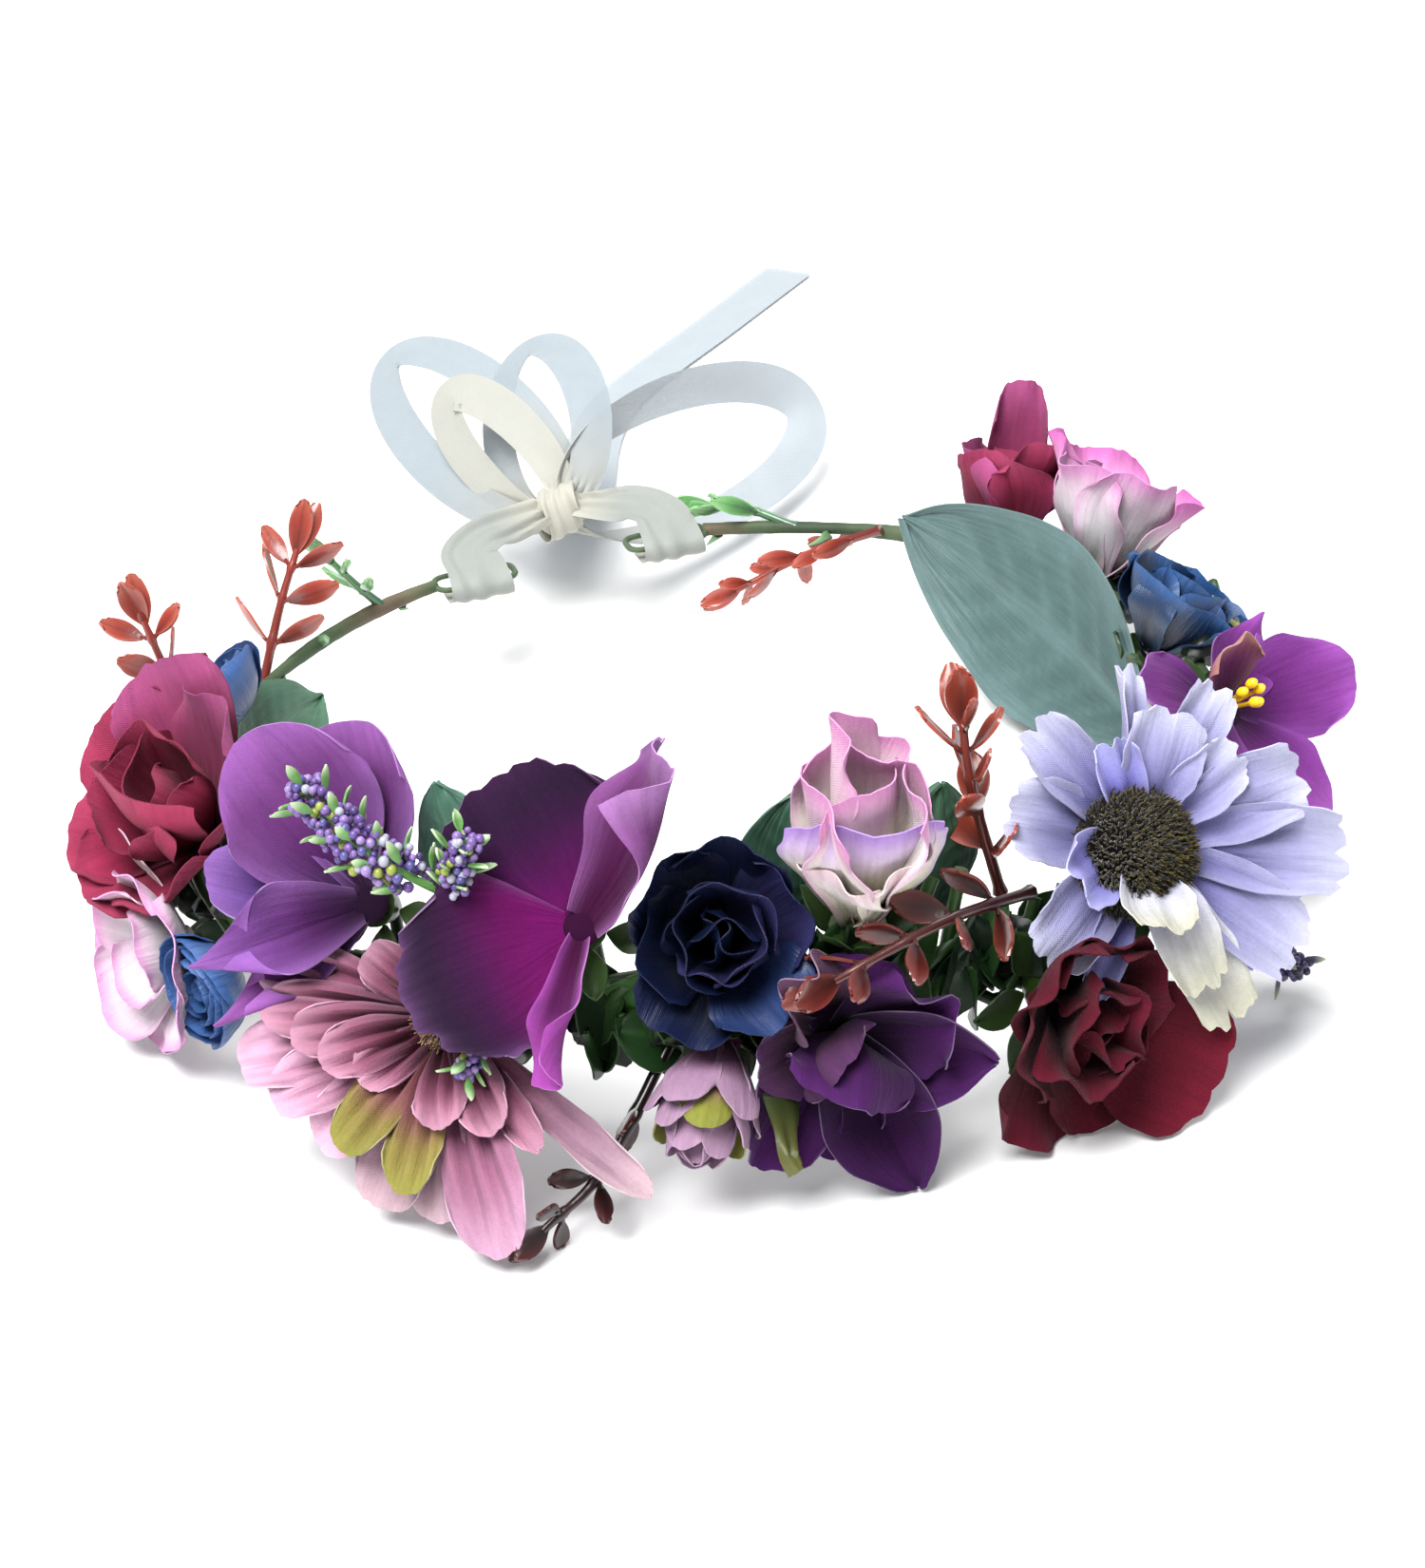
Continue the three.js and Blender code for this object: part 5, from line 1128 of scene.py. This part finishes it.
def ribbon_piece(name, made, look, held, near, far, body="bow"):
    """A soft sheet, from the near colour at the knot to the far one. A strap has no one body."""
    grid, u, v, length = made
    shape = Shape()
    last = far if held == "laid" else near
    tint = grade([(0, near), (0.25, far), (0.75, far), (1, last)], v + 0 * u)
    shape.sheet(grid, tint, cloth_of(u, v, LOOP_WIDTH, length), 0.18)
    piece = shape.piece(name + "_organza", look, body, name)
    if not body:
        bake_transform(piece)
    return piece


def strap(side):
    """The ribbon folded round an eyelet, and its gathered way to the knot."""
    bar = np.array((side * EYELET_MIDDLE, BAR_Y, RING_HEIGHT))
    fold = [(0, -3, -2.6), (0, -7.5, -2.6), (0, -10, -1.2), (0, -10, 1.2), (0, -6.5, 3.2), (0, -1, 4.4)]
    wind = [bar + np.array(p) for p in fold]
    way = [bar + (KNOT - bar) * s + np.array((side * 2 * (1 - s), 0, 1.5 + 4 * (1 - s)))
           for s in (0.25, 0.45, 0.65, 0.85)]
    wide = [(1, 0, 0)] * 6 + [(0.9, 0.3 * side, 0.2 * side)] + [(0.6, 0.7 * side, 0.5 * side)] * 3
    return band(wind + way, wide, lambda v: 13 - 6.5 * v**2, lambda v: 0.3 + 0.5 * v**2, 72, 20, 2.6, 0.7)


def crushed(lat, lon):
    """The folds of the ribbon that is tied into the knot."""
    return 1 + 0.07 * np.sin(5 * lon + 3 * lat) + 0.05 * np.sin(11 * lon - 2 * lat)


def ribbon():
    shape = Shape()
    shape.ball(KNOT, (5.6, 4.4, 4.6), tone(IVORY), np.eye(3), 18, 40, crushed)
    belt = [KNOT + np.array((0.6 * math.sin(2 * a), 4.7 * math.cos(a), 5.1 * math.sin(a)))
            for a in np.linspace(0.3, 6.2, 14)]
    wrap = band(belt, [(1, 0, 0.15)] * 14, lambda v: 7 + 0 * v, lambda v: 0.55 + 0 * v, 60, 18, 3, 0.5)
    shape.sheet(wrap[0], tone(IVORY), cloth_of(wrap[1], wrap[2], 8, 30), 0.3)
    shape.piece("bow_knot_wrap", FOLDED_RIBBON, "bow", "bow_knot")
    for side, name in ((-1, "ribbon_strap_left"), (1, "ribbon_strap_right")):
        ribbon_piece(name, strap(side), FOLDED_RIBBON, "gathered", IVORY, STRAP_TONE, None)
    for name, (*spec, tint) in BOW_LOOPS.items():
        look = FOLDED_RIBBON if name == "bow_loop_small" else RIBBON
        ribbon_piece(name, bow_loop(*spec), look, "folded", IVORY, tint)
    on_the_way = ((8, 29, 19), (17, 52, 8), (25, 77, 2), (36, 106, 0.8), (50, 128, 0.6), (81, 157, 0.6))
    tail = [KNOT, *[np.array(p) + (0, BAR_Y, 0) for p in on_the_way], np.array((112, 275, 0.6))]
    wide = [(0.95 - 0.035 * i, -0.2 - 0.07 * i, 0) for i in range(8)]
    made = band(tail, wide, lambda v: 13 * (0.45 + 0.55 * np.minimum(1, 3 * v)),
                lambda v: np.clip(1 - 5 * v, 0, 1), 120)
    ribbon_piece("ribbon_tail", made, RIBBON, "laid", IVORY, TAIL_TONE)


# ---- stage ----


def studio():
    """A pale paper floor, a pale sky and two round lamps."""
    places = np.linspace(-3000, 3000, 9)
    grid = np.array([[(x, y, -0.25) for x in places] for y in places])
    shape = Shape()
    shape.sheet(grid, (1, 1, 1), (0, 0), 0.4)
    mesh = bpy.data.meshes.new("floor")
    mesh.from_pydata((np.concatenate(shape.points) * MM).tolist(), [], shape.faces)
    paper = dict(Base_Color=(0.93, 0.93, 0.93, 1), Roughness=0.9, Specular_IOR_Level=0.1)
    mesh.materials.append(material("floor_paper", **paper)[0])
    linked("floor", mesh)
    world = bpy.data.worlds.new("studio")
    bpy.context.scene.world = world
    world.use_nodes = True
    sky = world.node_tree.nodes["Background"].inputs
    sky["Color"].default_value = (0.96, 0.98, 1, 1)
    sky["Strength"].default_value = 0.5
    for name, place, size, power in (("key", (-0.5, -0.45, 1.4), 1.1, 51), ("back", (0.7, 0.9, 1.1), 0.9, 9)):
        light = bpy.data.lights.new(name, "AREA")
        light.shape, light.size, light.energy = "DISK", size, power
        lamp = linked(name, light)
        lamp.location = place
        lamp.rotation_euler = (-Vector(place)).to_track_quat("-Z", "Y").to_euler()


def camera():
    """Looks at the crown from its front left and above, tilted a little."""
    azimuth, elevation, roll, distance = math.radians(-16), math.radians(28), math.radians(5), 0.6
    back = Vector((math.sin(azimuth) * math.cos(elevation), -math.cos(azimuth) * math.cos(elevation),
                   math.sin(elevation)))
    right = Vector((math.cos(azimuth), math.sin(azimuth), 0))
    up = back.cross(right)
    x = right * math.cos(roll) - up * math.sin(roll)
    y = right * math.sin(roll) + up * math.cos(roll)
    data = bpy.data.cameras.new("camera")
    data.sensor_width, data.lens = 36, 77.8
    data.shift_x, data.shift_y = 0.0048, -0.0333
    data.clip_start, data.clip_end = 0.02, 20
    made = linked("camera", data)
    turn, target = Matrix((x, y, back)).transposed().to_4x4(), Vector((0, 0, 0.026))
    made.matrix_world = Matrix.Translation(target + back * distance) @ turn
    bpy.context.scene.camera = made


make_petals()
for flower in FLOWERS:
    if flower not in BARE:
        calyx(flower)
DAISY_CENTRE = [(0, "080503"), (0.5, "1c140a"), (0.8, "382e14"), (1, "6c6020")]
fuzzy_centre("lavender_daisy", 10.2, 7, 1900, DAISY_CENTRE, 1.8, (-1.6, -2))
fuzzy_centre("pink_zinnia", 5, 5, 350, [(0, "3c1c20"), (0.6, "8a5a3a"), (1, "c0a050")], 1.2)
stamens("purple_orchid")
for spec in LEAVES:
    leaf(*spec)
for spec in SPRIGS:
    sprig(*spec)
sprays()
vine()
ribbon()
studio()
camera()
bpy.context.scene.view_settings.view_transform = "Standard"
